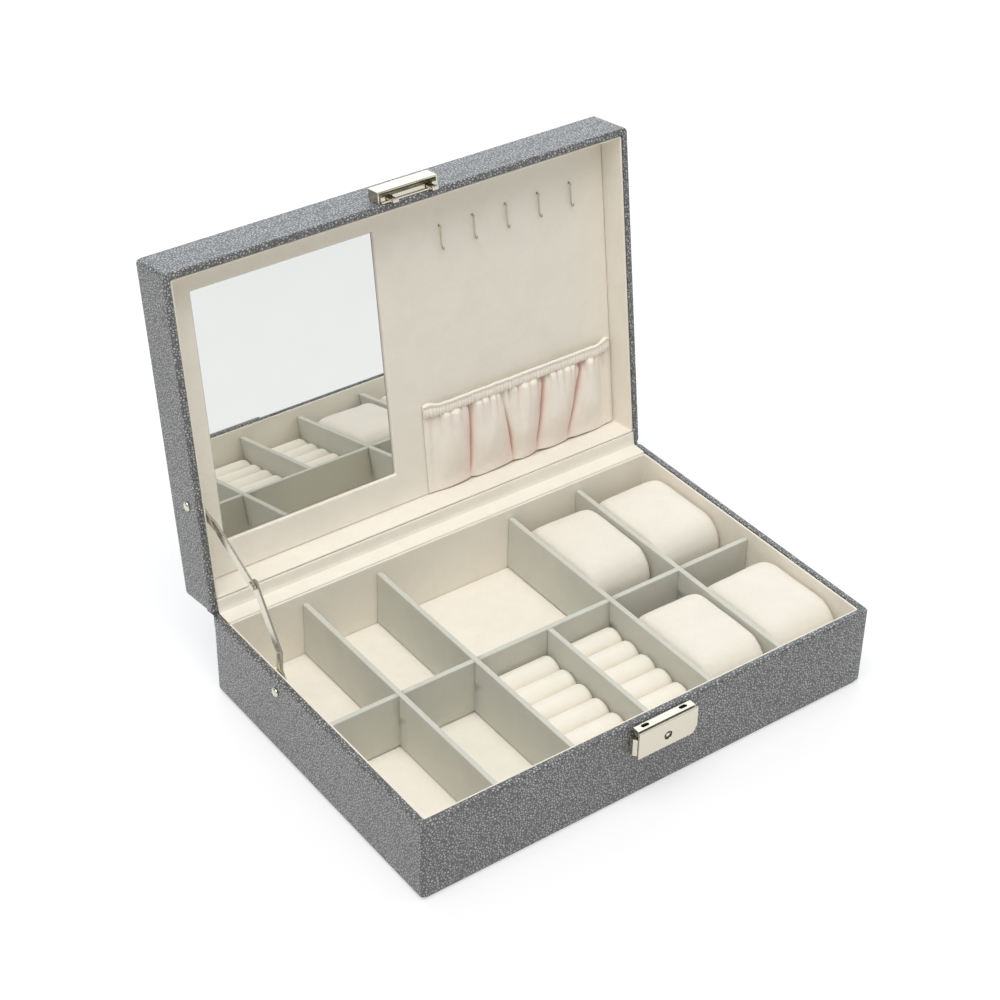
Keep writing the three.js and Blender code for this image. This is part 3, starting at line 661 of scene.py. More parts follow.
def wall_lining(name, liners, body, place, low, high, upward, nodes):
    """One band of suede round the inside, with a rounded visible edge."""
    x0, x1, y0, y1, _, _ = inner_box(liners, place)
    tip, other = (high, low) if upward else (low, high)
    sign = 1 if upward else -1
    edge = 0.45
    section = [(0.0, other), (0.0, tip - sign * 0.8), (0.0, tip - sign * edge)]
    section += [(edge - edge * math.cos(math.radians(a)),
                 tip - sign * (edge - edge * math.sin(math.radians(a)))) for a in (30, 60, 90)]
    section += [(LINER - 0.2, tip), (LINER, tip - sign * 0.2), (LINER, other)]
    loops = []
    for out, z in section:
        loops.append(rect_loop(x0 - out, x1 + out, y0 - out, y1 + out, z, 0.8 + out * 0.3, 5, 14))
    band = piece(name, loft(loops), body, finishes()["suede"], place)
    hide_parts(*nodes)
    return band


class BOX_OT_linings(PieceOperator, bpy.types.Operator):
    """Suede round the inside of both halves, on the floor, and over the hinge"""
    bl_idname = "jewellery_box.linings"
    bl_label = "Linings"

    def floor(self):
        """A thin pad, pressed down beside the walls and under the dividers."""
        pad = floor_pad
        walls_x = [pad.x0, pad.x1]
        walls_y = [pad.y0, pad.y1]
        across = [Extent(f"cross_divider_{i}") for i in range(1, 5)]
        long_one = Extent("long_divider")
        walls_x += [side for e in across for side in (e.x0, e.x1)]
        walls_y += [long_one.y0, long_one.y1]
        nx, ny = 150, 96
        points, faces = [], []
        for j in range(ny + 1):
            y = pad.y0 + (pad.y1 - pad.y0) * j / ny
            for i in range(nx + 1):
                x = pad.x0 + (pad.x1 - pad.x0) * i / nx
                near = min(min(abs(x - w) for w in walls_x), min(abs(y - w) for w in walls_y))
                dip = 0.55 * (1 - smoothstep(0.0, 5.0, near))
                soft = 0.06 * noise.noise(Vector((x, y, 3.0)) / 14)
                points.append(Vector((x, y, pad.z1 - 0.08 - dip + soft)))
        for j in range(ny):
            for i in range(nx):
                a = j * (nx + 1) + i
                faces.append((a, a + 1, a + nx + 2, a + nx + 1))
        border = [i for i in range(nx)]
        border += [j * (nx + 1) + nx for j in range(ny)]
        border += [ny * (nx + 1) + i for i in range(nx, 0, -1)]
        border += [j * (nx + 1) for j in range(ny, 0, -1)]
        low = len(points)
        points += [Vector((points[i].x, points[i].y, pad.z0)) for i in border]
        for k in range(len(border)):
            n = (k + 1) % len(border)
            faces.append((border[n], border[k], low + k, low + n))
        faces.append(tuple(reversed(range(low, low + len(border)))))
        floor = piece("floor_suede", (points, faces), "base", finishes()["suede"])
        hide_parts("floor_pad")

    def bent(self, base_side, past_hinge, lid_side, parts):
        """Joins a path's two ends with a curve that is drawn towards a point near the hinge."""
        start = [Vector((0, y, z)) for y, z in base_side]
        end = [LID @ (Vector((0, y, z)) * MM) / MM for y, z in lid_side]
        corner = HINGE / MM + past_hinge
        middle = []
        for k in range(1, parts):
            t = k / parts
            middle.append(start[-1] * (1 - t) ** 2 + corner * 2 * t * (1 - t) + end[0] * t * t)
        return start + middle + end

    def flat_size(self, path, x0, x1):
        """Width and length of a strip laid flat, in metres."""
        return (x1 - x0) * MM, sum((b - a).length for a, b in zip(path, path[1:])) * MM

    def hinge_path(self):
        """Over the base's rear rim, round the hinge line, and up over the lid's rear rim."""
        base, lid, edge = base_lining, lid_lining, RIM_CLOTH
        base_side = [(base.y0 + 0.25, base.z1 - 1.5), (base.y0 + 0.15, base.z1 - 0.8),
                     (base.y0 + 0.3, base.z1 - 0.35), (base.y0 + 0.8, base.z1 - 0.12),
                     (base.y0 + 1.8, base.z1 - 0.06), (base.y0 + 4.0, base.z1 - 0.06),
                     (base.y1 - 1.6, base.z1 - 0.03), (base.y1 - 0.3, base.z1 + edge * 0.6),
                     (base.y1 + 0.25, base.z1 + edge), (base.y1 + 0.75, base.z1 + edge)]
        lid_side = [(-0.45, lid.z0 - edge), (-0.9, lid.z0 - edge),
                    (lid.y1 + 0.2, lid.z0 - edge * 0.6),
                    (lid.y1 - 1.0, lid.z0 + 0.1), (lid.y1 - 3.0, lid.z0 + 0.16),
                    (lid.y0 + 1.6, lid.z0 + 0.14), (lid.y0 + 0.8, lid.z0 + 0.16),
                    (lid.y0 + 0.3, lid.z0 + 0.4), (lid.y0 + 0.15, lid.z0 + 0.9),
                    (lid.y0 + 0.25, lid.z0 + 1.6)]
        return self.bent(base_side, Vector((0, -0.02, -0.12)), lid_side, 6)

    def crease_path(self):
        """Down the lid's back, through the crease at the hinge line, and down the base's back."""
        out = 0.28
        back, top, low = base_cover.y1, base_cover.z1, lid_cover.z0
        base_side = [(back - 0.1, top - 7.2), (back + out, top - 6.8), (back + out, top - 4.5),
                     (back + out, top - 2.4), (back + out * 0.9, top - 1.3)]
        lid_side = [(out * 0.9, low + 1.3), (out, low + 2.4), (out, low + 4.5), (out, low + 6.8),
                    (-0.1, low + 7.2)]
        return self.bent(base_side, Vector((0, 0.35, -0.30)), lid_side, 8)

    def strip(self, name, path, x0, x1, thickness, material):
        """A band of even thickness along X that follows a path of (y, z)."""
        ends = []
        for i, p in enumerate(path):
            a, b = path[max(i - 1, 0)], path[min(i + 1, len(path) - 1)]
            along = (b - a).normalized()
            ends.append(Vector((0, -along.z, along.y)))
        low = [p - n * thickness / 2 for p, n in zip(path, ends)]
        high = [p + n * thickness / 2 for p, n in zip(path, ends)]
        ring = low + list(reversed(high))
        columns = 80
        loops = []
        for i in range(columns + 1):
            x = x0 + (x1 - x0) * i / columns
            loops.append([Vector((x, p.y, p.z)) for p in ring])
        return piece(name, loft(loops, capped=True), None, material)

    def execute(self, context):
        low, high = inner_box(BASE_LINERS)[4:]
        wall_lining("base_wall_suede", BASE_LINERS, "base", BASE, low, high, True, BASE_LINERS)
        low, high = inner_box(LID_LINERS, LID)[4:]
        wall_lining("lid_wall_suede", LID_LINERS, "lid", LID, low, high, False, LID_LINERS)
        self.floor()
        path = self.hinge_path()
        cloth = self.strip("hinge_suede", path, base_lining.x0, base_lining.x1, RIM_CLOTH * 0.8,
                           finishes()["suede"])
        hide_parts("hinge_lining_base", "hinge_lining_lid")
        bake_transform(cloth)

        path = self.crease_path()
        inset = 1.0
        x0, x1 = base_cover.x0 + inset, base_cover.x1 - inset
        crease = self.strip("hinge_leather", path, x0, x1, 0.4, finishes()["leather"])
        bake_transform(crease)
        return {"FINISHED"}


class BOX_OT_dividers(PieceOperator, bpy.types.Operator):
    """Suede-covered boards that halve-lap into each other, with softened top edges"""
    bl_idname = "jewellery_box.dividers"
    bl_label = "Dividers"
    softness = 0.55

    def cut(self, obj, boxes):
        """Takes plain blocks out of obj, in millimetres."""
        for x0, x1, y0, y1, z0, z1 in boxes:
            mesh = bpy.data.meshes.new("notch")
            points = [(x, y, z) for x in (x0, x1) for y in (y0, y1) for z in (z0, z1)]
            faces = [(0, 1, 3, 2), (4, 6, 7, 5), (0, 4, 5, 1),
                     (2, 3, 7, 6), (0, 2, 6, 4), (1, 5, 7, 3)]
            mesh.from_pydata([Vector(p) * MM for p in points], [], faces)
            block = bpy.data.objects.new("notch", mesh)
            bpy.context.scene.collection.objects.link(block)
            subtract(obj, block)
            bpy.data.meshes.remove(mesh)

    def board(self, name, node, notches=()):
        """One board with softened edges, less its notches."""
        e = Extent(node)
        shape = soft_box(e.x0, e.x1, e.y0, e.y1, e.z0, e.z1, self.softness, 3, 12.0)
        board = piece(name, shape, "base", finishes()["divider"])
        self.cut(board, notches)
        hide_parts(node)

    def execute(self, context):
        long_one = Extent("long_divider")
        across = [Extent(f"cross_divider_{i}") for i in range(1, 5)]
        middle = (long_one.z0 + long_one.z1) / 2
        fit, clear = 0.02, 2
        self.board("long_divider_suede", "long_divider", [
            (e.x0 - fit, e.x1 + fit, long_one.y0 - clear, long_one.y1 + clear,
             middle, long_one.z1 + clear) for e in across])
        for i, e in enumerate(across, 1):
            self.board(f"cross_divider_suede_{i}", f"cross_divider_{i}", [
                (e.x0 - clear, e.x1 + clear, long_one.y0 - fit, long_one.y1 + fit,
                 e.z0 - clear, middle - fit)])
        self.board("ring_divider_suede", "ring_divider")
        return {"FINISHED"}


class BOX_OT_ring_pads(PieceOperator, bpy.types.Operator):
    """Rows of soft half-round rolls that hold rings in the slits between them"""
    bl_idname = "jewellery_box.ring_pads"
    bl_label = "Ring pads"
    rolls = 6
    slit_depth = 13.0

    def pad(self, node, name):
        box = Extent(node)
        pitch = (box.y1 - box.y0) / self.rolls
        radius = pitch / 2 - 0.12
        rows = 16
        floor_z = box.z1 - self.slit_depth
        centre_z = box.z1 - radius
        end = 4.2
        stations = [box.x0 + end * (1 - math.cos(math.radians(a))) for a in range(0, 91, 11)]
        plain = [box.x0 + end + (box.x1 - box.x0 - 2 * end) * k / 12 for k in range(1, 12)]
        mirrored = [box.x0 + box.x1 - x for x in reversed(stations)]
        loops = []
        for x in stations + plain + mirrored:
            from_end = min(x - box.x0, box.x1 - x)
            s = min(1.0, from_end / end)
            shrink = math.sqrt(max(0.0, 1 - (1 - s) ** 2))
            side = 0.80 + 0.20 * shrink
            crown = 0.52 + 0.48 * shrink
            loop = [Vector((x, box.y0, box.z0))]
            for roll in range(self.rolls):
                cy = box.y0 + (roll + 0.5) * pitch
                puff = 1 + 0.02 * noise.noise(Vector((x / 9, cy, roll)))
                loop.append(Vector((x, cy - pitch / 2 + (0.0 if roll == 0 else 0.01), floor_z)))
                wall_y = radius * side
                for z in (floor_z + 0.1, floor_z + 2.5, floor_z + 4.5):
                    loop.append(Vector((x, cy - wall_y, min(z, centre_z - 0.5))))
                for k in range(rows + 1):
                    a = math.pi - math.pi * k / rows
                    loop.append(Vector((x, cy + wall_y * math.cos(a),
                                        centre_z + (radius * crown * puff) * math.sin(a) * 0.99
                                        - (1 - crown) * 3.0)))
                for z in (floor_z + 4.5, floor_z + 2.5, floor_z + 0.1):
                    loop.append(Vector((x, cy + wall_y, min(z, centre_z - 0.5))))
            loop.append(Vector((x, box.y1, floor_z)))
            loop.append(Vector((x, box.y1, box.z0)))
            loops.append(loop)
        shape = loft(loops, capped=True)
        pad = piece(name, shape, "base", finishes()["suede"], smooth_angle=62.0)
        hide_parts(node)

    def execute(self, context):
        self.pad("ring_pad_left", "ring_rolls_left")
        self.pad("ring_pad_right", "ring_rolls_right")
        return {"FINISHED"}


class BOX_OT_pillows(PieceOperator, bpy.types.Operator):
    """Watch pillows: suede covers swollen over a soft filling, pressed flat by the dividers"""
    bl_idname = "jewellery_box.pillows"
    bl_label = "Watch pillows"
    # Frames of the cloth simulation, and the cloth's own settings
    steps = 20
    cloth = {"quality": 6, "mass": 0.2, "use_pressure": True, "uniform_pressure_force": 4.0,
             "tension_stiffness": 12, "compression_stiffness": 12, "bending_stiffness": 1.5}
    voxel = 0.0026

    def blank(self, width, length, height):
        """The unfilled pillow, round its middle, on z 0."""
        radius, side, shrink = 15.5, 5.0, 1.0
        loops = []
        steps = 6
        inset = [(side * (1 - math.cos(math.pi / 2 * k / steps)),
                  side * (1 - math.sin(math.pi / 2 * k / steps))) for k in range(steps + 1)]
        stations = [(-width / 2 + x, d) for x, d in inset]
        stations += [(width / 2 - x, d) for x, d in reversed(inset)]
        for x, d in stations:
            loop = rect_loop(-length / 2 + shrink + d, length / 2 - shrink - d,
                             shrink * 0.3 + d, height - shrink - d, 0, radius - d * 0.6, 8, 4)
            loops.append([Vector((x, p.x, p.y)) for p in loop])
        return loft(loops, capped=True)

    def fill(self, obj, cap):
        """Voxel remesh, then cloth blown up by pressure, no point moving further than cap."""
        change = obj.modifiers.new("even_mesh", "REMESH")
        change.mode = "VOXEL"
        change.voxel_size = self.voxel
        settled(obj)
        rest = [v.co.copy() for v in obj.data.vertices]
        cloth = obj.modifiers.new("cover", "CLOTH")
        for key, value in self.cloth.items():
            setattr(cloth.settings, key, value)
        cloth.settings.effector_weights.gravity = 0.0
        scene = bpy.context.scene
        cloth.point_cache.frame_start = 1
        cloth.point_cache.frame_end = self.steps
        for step in range(1, self.steps + 1):
            scene.frame_set(step)
        settled(obj)
        for vertex, start in zip(obj.data.vertices, rest):
            move = vertex.co - start
            if move.length > cap:
                vertex.co = start + move * (cap / move.length)
        scene.frame_set(1)

    def execute(self, context):
        cap = context.scene.box_sizes.pillow_cap
        made = {}
        for row in ("back", "front"):
            for column in ("inner", "outer"):
                node = f"watch_pillow_{row}_{column}"
                box = Extent(node)
                if column not in made:
                    width = box.x1 - box.x0
                    shape = self.blank(width - 0.6, box.y1 - box.y0, box.z1 - box.z0)
                    blank = piece("pillow_blank", shape, None, finishes()["pillow"])
                    self.fill(blank, cap)
                    smooth = blank.modifiers.new("finer", "SUBSURF")
                    smooth.levels = smooth.render_levels = 1
                    settled(blank)
                    made[column] = [v.co.copy() / MM for v in blank.data.vertices], \
                        [tuple(p.vertices) for p in blank.data.polygons]
                    old = blank.data
                    bpy.data.objects.remove(blank)
                    bpy.data.meshes.remove(old)
                points, faces = made[column]
                mid_x, mid_y = (box.x0 + box.x1) / 2, (box.y0 + box.y1) / 2
                seed = len(bpy.data.objects)
                placed = []
                for p in points:
                    q = Vector((p.x, p.y, p.z))
                    dent = 0.5 * noise.noise(Vector((p.x / 21, p.y / 21, seed)))
                    dent += 0.12 * noise.noise(Vector((p.x / 7, p.y / 7, seed + p.z / 9)))
                    q.z += dent * smoothstep(8.0, 22.0, p.z)
                    q.y += 0.5 * dent * (1 if p.y > 0 else -1)
                    q.x = max(-(box.x1 - box.x0) / 2, min((box.x1 - box.x0) / 2, q.x))
                    q.y = max(-(box.y1 - box.y0) / 2, min((box.y1 - box.y0) / 2, q.y))
                    q.z = max(0.0, min(box.z1 - box.z0, q.z))
                    placed.append(q + Vector((mid_x, mid_y, box.z0)))
                body = f"pillow_{row}_{column}"
                pillow = piece(f"watch_cushion_{row}_{column}", (placed, faces), body,
                               finishes()["pillow"], smooth_angle=80.0)
                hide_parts(node)
        return {"FINISHED"}


class BOX_OT_mirror_panel(PieceOperator, bpy.types.Operator):
    """Suede panel inside the lid with a window, and the mirror sunk in it"""
    bl_idname = "jewellery_box.mirror_panel"
    bl_label = "Mirror panel"

    def execute(self, context):
        glass = Extent("mirror", LID)
        gap = 0.25
        window = (glass.x0 - gap, glass.x1 + gap, glass.y0 - gap, glass.y1 + gap)
        outer = (panel.x0, panel.x1, panel.y0, panel.y1)
        deep = glass.z1 + gap
        edge = 0.7

        def ring(box, grow, z, corner):
            return rect_loop(box[0] - grow, box[1] + grow, box[2] - grow, box[3] + grow, z,
                             corner, 4, 10)

        loops = [ring(outer, 0, panel.z1, 0.3), ring(outer, 0, panel.z0 + 0.5, 0.3),
                 ring(outer, -0.15, panel.z0 + 0.15, 0.3), ring(outer, -0.5, panel.z0, 0.3),
                 ring(outer, -1.0, panel.z0, 0.3)]
        loops += [ring(window, edge + 0.5, panel.z0, 0.9)]
        for a in (0, 22.5, 45, 67.5, 90):
            t = math.radians(a)
            loops.append(ring(window, edge - edge * math.sin(t),
                              panel.z0 + edge - edge * math.cos(t), 0.6))
        loops += [ring(window, 0, deep - 0.1, 0.5), ring(window, -1.2, deep, 0.4)]
        shape = loft(loops, capped=True)
        sheet = piece("panel_suede", shape, "lid", finishes()["suede"], LID)
        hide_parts("lid_panel")

        bevel = 0.5
        loops = [rect_loop(glass.x0, glass.x1, glass.y0, glass.y1, glass.z1, 0.5, 4, 1),
                 rect_loop(glass.x0, glass.x1, glass.y0, glass.y1, glass.z0 + bevel, 0.5, 4, 1),
                 rect_loop(glass.x0 + bevel, glass.x1 - bevel, glass.y0 + bevel, glass.y1 - bevel,
                           glass.z0, 0.4, 4, 1)]
        shape = loft(loops, capped=True)
        pane = piece("mirror_pane", shape, "lid", finishes()["mirror"], LID, smooth_angle=20.0)
        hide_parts("mirror")
        return {"FINISHED"}


def plan_tree(name, inputs):
    """A Geometry Nodes tree that takes a path and named sizes of 0 or more."""
    tree = bpy.data.node_groups.new(name, "GeometryNodeTree")
    tree.interface.new_socket("Path", in_out="INPUT", socket_type="NodeSocketGeometry")
    for label, kind, value in inputs:
        socket = tree.interface.new_socket(label, in_out="INPUT", socket_type=kind)
        socket.default_value = value
        if kind == "NodeSocketFloat":
            socket.min_value = 0.0
    tree.interface.new_socket("Geometry", in_out="OUTPUT", socket_type="NodeSocketGeometry")
    return tree, tree.nodes.new("NodeGroupInput").outputs


def end_plan(tree, geometry, material):
    """Makes the tree's copies real, gives them their material and hands them out."""
    real = add(tree, "GeometryNodeRealizeInstances", {"Geometry": geometry})
    dressed = add(tree, "GeometryNodeSetMaterial", {
        "Geometry": real.outputs[0], "Material": material})
    end = tree.nodes.new("NodeGroupOutput")
    tree.links.new(dressed.outputs[0], end.inputs[0])
    return tree


def run_plan(tree, name, points, edges, values):
    """Feeds a path of points to a Geometry Nodes tree and returns its plain mesh object."""
    mesh = bpy.data.meshes.new(name)
    mesh.from_pydata([Vector(p) for p in points], edges, [])
    obj = bpy.data.objects.new(name, mesh)
    bpy.context.scene.collection.objects.link(obj)
    change = obj.modifiers.new("plan", "NODES")
    change.node_group = tree
    for item in tree.interface.items_tree:
        if item.in_out == "INPUT" and item.name in values:
            change[item.identifier] = values[item.name]
    settled(obj)
    for face in obj.data.polygons:
        face.use_smooth = True
    return obj


class BOX_OT_hooks(PieceOperator, bpy.types.Operator):
    """A row of wire hooks for necklaces, each with a round foot"""
    bl_idname = "jewellery_box.hooks"
    bl_label = "Necklace hooks"

    def hook_plan(self, material):
        """Wire swept along the path, with a round foot at its start."""
        tree, given = plan_tree("hook_row", [
            ("Wire Radius", "NodeSocketFloat", 0.0006),
            ("Foot Radius", "NodeSocketFloat", 0.0021),
            ("Foot Height", "NodeSocketFloat", 0.0006),
            ("Foot Place", "NodeSocketVector", (0.0, 0.0, 0.0))])
        wire = add(tree, "GeometryNodeMeshToCurve", {"Mesh": given["Path"]})
        ring = add(tree, "GeometryNodeCurvePrimitiveCircle", {
            "Resolution": 14, "Radius": given["Wire Radius"]})
        swept = add(tree, "GeometryNodeCurveToMesh", {
            "Curve": wire.outputs[0], "Profile Curve": ring.outputs[0], "Fill Caps": True})
        disc = add(tree, "GeometryNodeMeshCylinder", {
            "Vertices": 28, "Side Segments": 1, "Fill Segments": 3,
            "Radius": given["Foot Radius"], "Depth": given["Foot Height"]})
        seated = add(tree, "GeometryNodeTransform", {
            "Geometry": disc.outputs["Mesh"], "Translation": given["Foot Place"]})
        both = tree.nodes.new("GeometryNodeJoinGeometry")
        tree.links.new(swept.outputs[0], both.inputs[0])
        tree.links.new(seated.outputs[0], both.inputs[0])
        return end_plan(tree, both.outputs[0], material)

    def execute(self, context):
        tree = self.hook_plan(finishes()["hook_wire"])
        wire = context.scene.box_sizes.hook_wire / MM
        for i in range(1, 6):
            box = Extent(f"necklace_hook_{i}", LID)
            x, foot = (box.x0 + box.x1) / 2, box.z1
            top = box.y0 + 2.1
            end = box.y1
            stem = foot - 1.5
            tip = max(box.z0 + wire / 2, stem - 2.0)
            way = [(top, foot - 0.3), (top + 0.05, foot - 0.9), (top + 0.5, stem + 0.12),
                   (top + 1.4, stem), (top + 4.0, stem), (end - 4.0, stem), (end - 2.2, stem - 0.03),
                   (end - 1.0, stem - 0.3), (end - 0.5, stem - 0.9), (end - 0.7, tip + 0.35),
                   (end - 1.4, tip + 0.02), (end - 2.3, tip)]
            fine = []
            for k in range(len(way) - 1):
                for step in range(5):
                    fine.append(self.spline(way, k, step / 5))
            fine.append(way[-1])
            points = [Vector((0, y, z)) * MM for y, z in fine]
            edges = [(k, k + 1) for k in range(len(points) - 1)]
            hook = run_plan(tree, f"necklace_hook_wire_{i}", points, edges, {
                "Wire Radius": wire / 2 * MM, "Foot Radius": 0.65 * MM, "Foot Height": 0.4 * MM,
                "Foot Place": (0.0, top * MM, (foot - 0.2) * MM)})
            hook.data.transform(LID @ Matrix.Translation((x * MM, 0, 0)))
            hook.data.set_sharp_from_angle(angle=math.radians(40))
            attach(hook, "lid")
            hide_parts(f"necklace_hook_{i}")
        return {"FINISHED"}

    def spline(self, way, k, t):
        """A point between way[k] and way[k + 1] on a smooth curve through them all."""
        last = len(way) - 1
        a, b, c, d = (Vector(way[min(max(k + o, 0), last)]) for o in (-1, 0, 1, 2))
        return tuple(0.5 * ((2 * b) + (c - a) * t + (2 * a - 5 * b + 4 * c - d) * t * t
                            + (3 * b - a - 3 * c + d) * t ** 3))


# The pocket's deep folds: place across it at the top and at the foot, how deep each is at the
# top and at the foot, and how far it opens just under the casing
FOLDS = [(0.238, 0.220, 1.0, 0.65, 0.013), (0.405, 0.448, 0.10, 0.75, 0.006),
         (0.635, 0.578, 1.0, 0.80, 0.013), (0.842, 0.752, 1.0, 0.75, 0.024)]


def opening_lean(v):
    """A fold opens to one side under the casing."""
    return 0.010 * smoothstep(0.80, 1.0, v)


class BOX_OT_pocket(PieceOperator, bpy.types.Operator):
    """Gathered satin pocket with its elastic casing and stitched side seams"""
    bl_idname = "jewellery_box.pocket"
    bl_label = "Gathered pocket"
    across = 420
    down = 80

    def fold_place(self, fold, v):
        """Where a fold runs at height v, and how deep and how open it is there."""
        at_top, at_foot, top_depth, foot_depth, opening = fold
        t = smoothstep(0.0, 1.0, v) * 0.6 + v * 0.4
        centre = at_foot + (at_top - at_foot) * t
        depth = foot_depth + (top_depth - foot_depth) * smoothstep(0.25, 0.95, v)
        return centre, depth, 0.0042 + opening * smoothstep(0.78, 1.0, v) ** 2

    def stand_off(self, u, v):
        """How far the cloth stands from the panel at u across and v up, and how much painted shade it gets there.
        """
        places = [self.fold_place(fold, v) for fold in FOLDS]
        edges = [0.03] + [centre for centre, _, _ in places] + [0.97]
        side = smoothstep(0.028, 0.11, u) * smoothstep(0.028, 0.10, 1 - u)
        rise = 0.55 + side * (1.1 + 2.6 * smoothstep(0.0, 0.45, v))
        bay = max(k for k in range(len(edges) - 1) if u >= edges[k] or k == 0)
        t = min(max((u - edges[bay]) / (edges[bay + 1] - edges[bay]), 0.0), 1.0)
        swell = math.sin(math.pi * t) ** 0.7
        rise += side * (0.9 + 3.6 * smoothstep(0.0, 0.45, v)) * (swell - 0.6)
        hollow, side_painted_shade = 0.0, 0.0
        for centre, depth, width in places:
            offset = u - centre
            lean = opening_lean(v)
            well = depth * math.exp(-((offset + lean) / width) ** 2)
            shoulder = depth * math.exp(-((offset - 0.022) / 0.016) ** 2)
            hollow = max(hollow, well)
            # Painted shade spreads further on each fold's left side
            reach = 0.075 if offset < 0 else 0.02
            side_painted_shade = max(side_painted_shade, 0.34 * depth * math.exp(-(offset / reach) ** 2))
            rise += 0.9 * shoulder * side * smoothstep(0.0, 0.3, v)
            rise -= 3.1 * well * smoothstep(-0.1, 0.25, v)
        near_casing = smoothstep(0.50, 1.0, v) ** 1.5
        beat = u * 22 + 0.35 * math.sin(u * 17) + 0.12 * (1 - v) * math.sin(u * 40)
        pleat = 1 - abs(math.sin(math.pi * beat)) ** 0.55
        rise -= near_casing * side * 2.7 * pleat
        long_pleat = noise.noise(Vector((u * 19 + 0.7 * (1 - v) * math.sin(u * 25), v * 0.9, 5.0)))
        rise += 2.3 * long_pleat * side * smoothstep(0.08, 0.7, v)
        crumple = noise.noise(Vector((u * 37 + 2.2 * v, v * 3.4, 9.0)))
        rise += 0.30 * crumple * side
        tucked = smoothstep(0.90, 1.0, v)
        rise = rise * (1 - tucked) + min(rise, 2.6) * tucked
        # Painted shade: pink in the fold hollows, in the gathers under the casing and towards the foot, and more
        # on each fold's left side
        fold_painted_shade = hollow * smoothstep(0.0, 0.2, v) + 0.34 * pleat * near_casing + 0.09 * (1 - v) ** 1.5
        return max(rise, 0.35), min(1.0, fold_painted_shade + side_painted_shade * (1 - near_casing))

    def sheet_shape(self, box, back, top):
        """Front of the sheet as a grid of points, and how much painted shade each point gets."""
        points, depth = [], []
        for j in range(self.down + 1):
            v = j / self.down
            for i in range(self.across + 1):
                u = i / self.across
                rise, fold = self.stand_off(u, v)
                x = box.x0 + (box.x1 - box.x0) * u
                caught = max(depth * math.exp(-((u - centre) / 0.03) ** 2)
                             for centre, depth, _ in (self.fold_place(fold, 0.0) for fold in FOLDS))
                low = box.y1 - 0.55 - 0.9 * caught + 0.25 * math.sin(u * 29)
                y = low + (top - low) * v
                points.append(Vector((x, y, back - rise)))
                depth.append(fold)
        return points, depth

    def execute(self, context):
        sizes = context.scene.box_sizes
        box = Extent("pocket", LID)
        casing = Extent("pocket_elastic_casing", LID)
        satin = finishes()["satin"]
        points, depth = self.sheet_shape(box, box.z1, casing.y1 - 2.5)
        row = self.across + 1
        faces = []
        for j in range(self.down):
            for i in range(self.across):
                a = j * row + i
                faces.append((a, a + row, a + row + 1, a + 1))
        sheet = piece("pocket_cloth", (points, faces), "lid", satin, LID, 180.0, outward=False)
        # Painted fold shade, kept on the points for the satin material
        layer = sheet.data.attributes.new("satin_painted_shade", "FLOAT", "POINT")
        layer.data.foreach_set("value", depth)
        wall = sheet.modifiers.new("cloth_thickness", "SOLIDIFY")
        wall.thickness = 0.0003
        wall.offset = 1.0
        settled(sheet)
        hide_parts("pocket")
        self.make_casing(casing, satin, sizes.gathers)
        seams = self.make_stitches(box, casing, satin)
        return {"FINISHED"}

    def ruche(self, u, gathers):
        """Crest of the casing's small gathers at u across: 1 on a crest, 0 in a crease."""
        beat = u * gathers + 0.30 * math.sin(u * 37) + 0.2 * math.sin(u * 91)
        return abs(math.sin(math.pi * beat)) ** 0.6

    def make_casing(self, casing, satin, gathers):
        """A rolled, ruched band over the elastic, with ears at both ends."""
        steps = gathers * 7
        loops, values = [], []
        for i in range(steps + 1):
            u = i / steps
            x = casing.x0 + (casing.x1 - casing.x0) * u
            side = smoothstep(0.0, 0.09, u) * smoothstep(0.0, 0.09, 1 - u)
            base = 0.35 + 3.0 * side
            crest = self.ruche(u, gathers)
            wander = noise.noise(Vector((u * 26, 0.0, 2.0)))
            ear = math.exp(-((min(u, 1 - u) - 0.028) / 0.022) ** 2)
            roll = 1.0 + 0.55 * ear + 0.12 * wander
            full = 1.05 + 0.55 * crest + 0.25 * wander + 0.9 * ear
            top = casing.y0 + 0.9 - 1.3 * ear + 0.12 * crest + 0.35 * wander
            low = casing.y1 - 0.25 + 0.5 * crest + 0.2 * wander
            lip = top + 1.9 * roll
            section = [(top + 0.9, base - 0.3), (top + 0.25, base + 0.35 * roll),
                       (top, base + 0.95 * roll), (top + 0.35, base + 1.6 * roll), (top + 0.95, base + 1.9 * roll),
                       (top + 1.5, base + 1.65 * roll), (lip, base + 1.05 * roll),
                       (lip + 0.35, base + full * 0.72), (lip + 1.1, base + full),
                       (lip + (low - lip) * 0.55, base + full * 1.05), (low - 0.7, base + full * 0.9),
                       (low - 0.1, base + full * 0.55), (low - 0.15, base + 0.1),
                       (low - 0.9, base - 0.25)]
            back = casing.z1 - 0.05
            loops.append([Vector((x, y, min(back, casing.z1 - out))) for y, out in section])
            # Painted shade: pinkish shade in the creases between gathers, most on the lower band
            values += [(0.34 if 6 <= k <= 12 else 0.05) * (1 - crest) for k in range(len(section))]
        shape = loft(loops, capped=True)
        band = piece("pocket_casing", shape, "lid", satin, LID, 180.0)
        layer = band.data.attributes.new("satin_painted_shade", "FLOAT", "POINT")
        layer.data.foreach_set("value", values)
        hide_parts("pocket_elastic_casing")

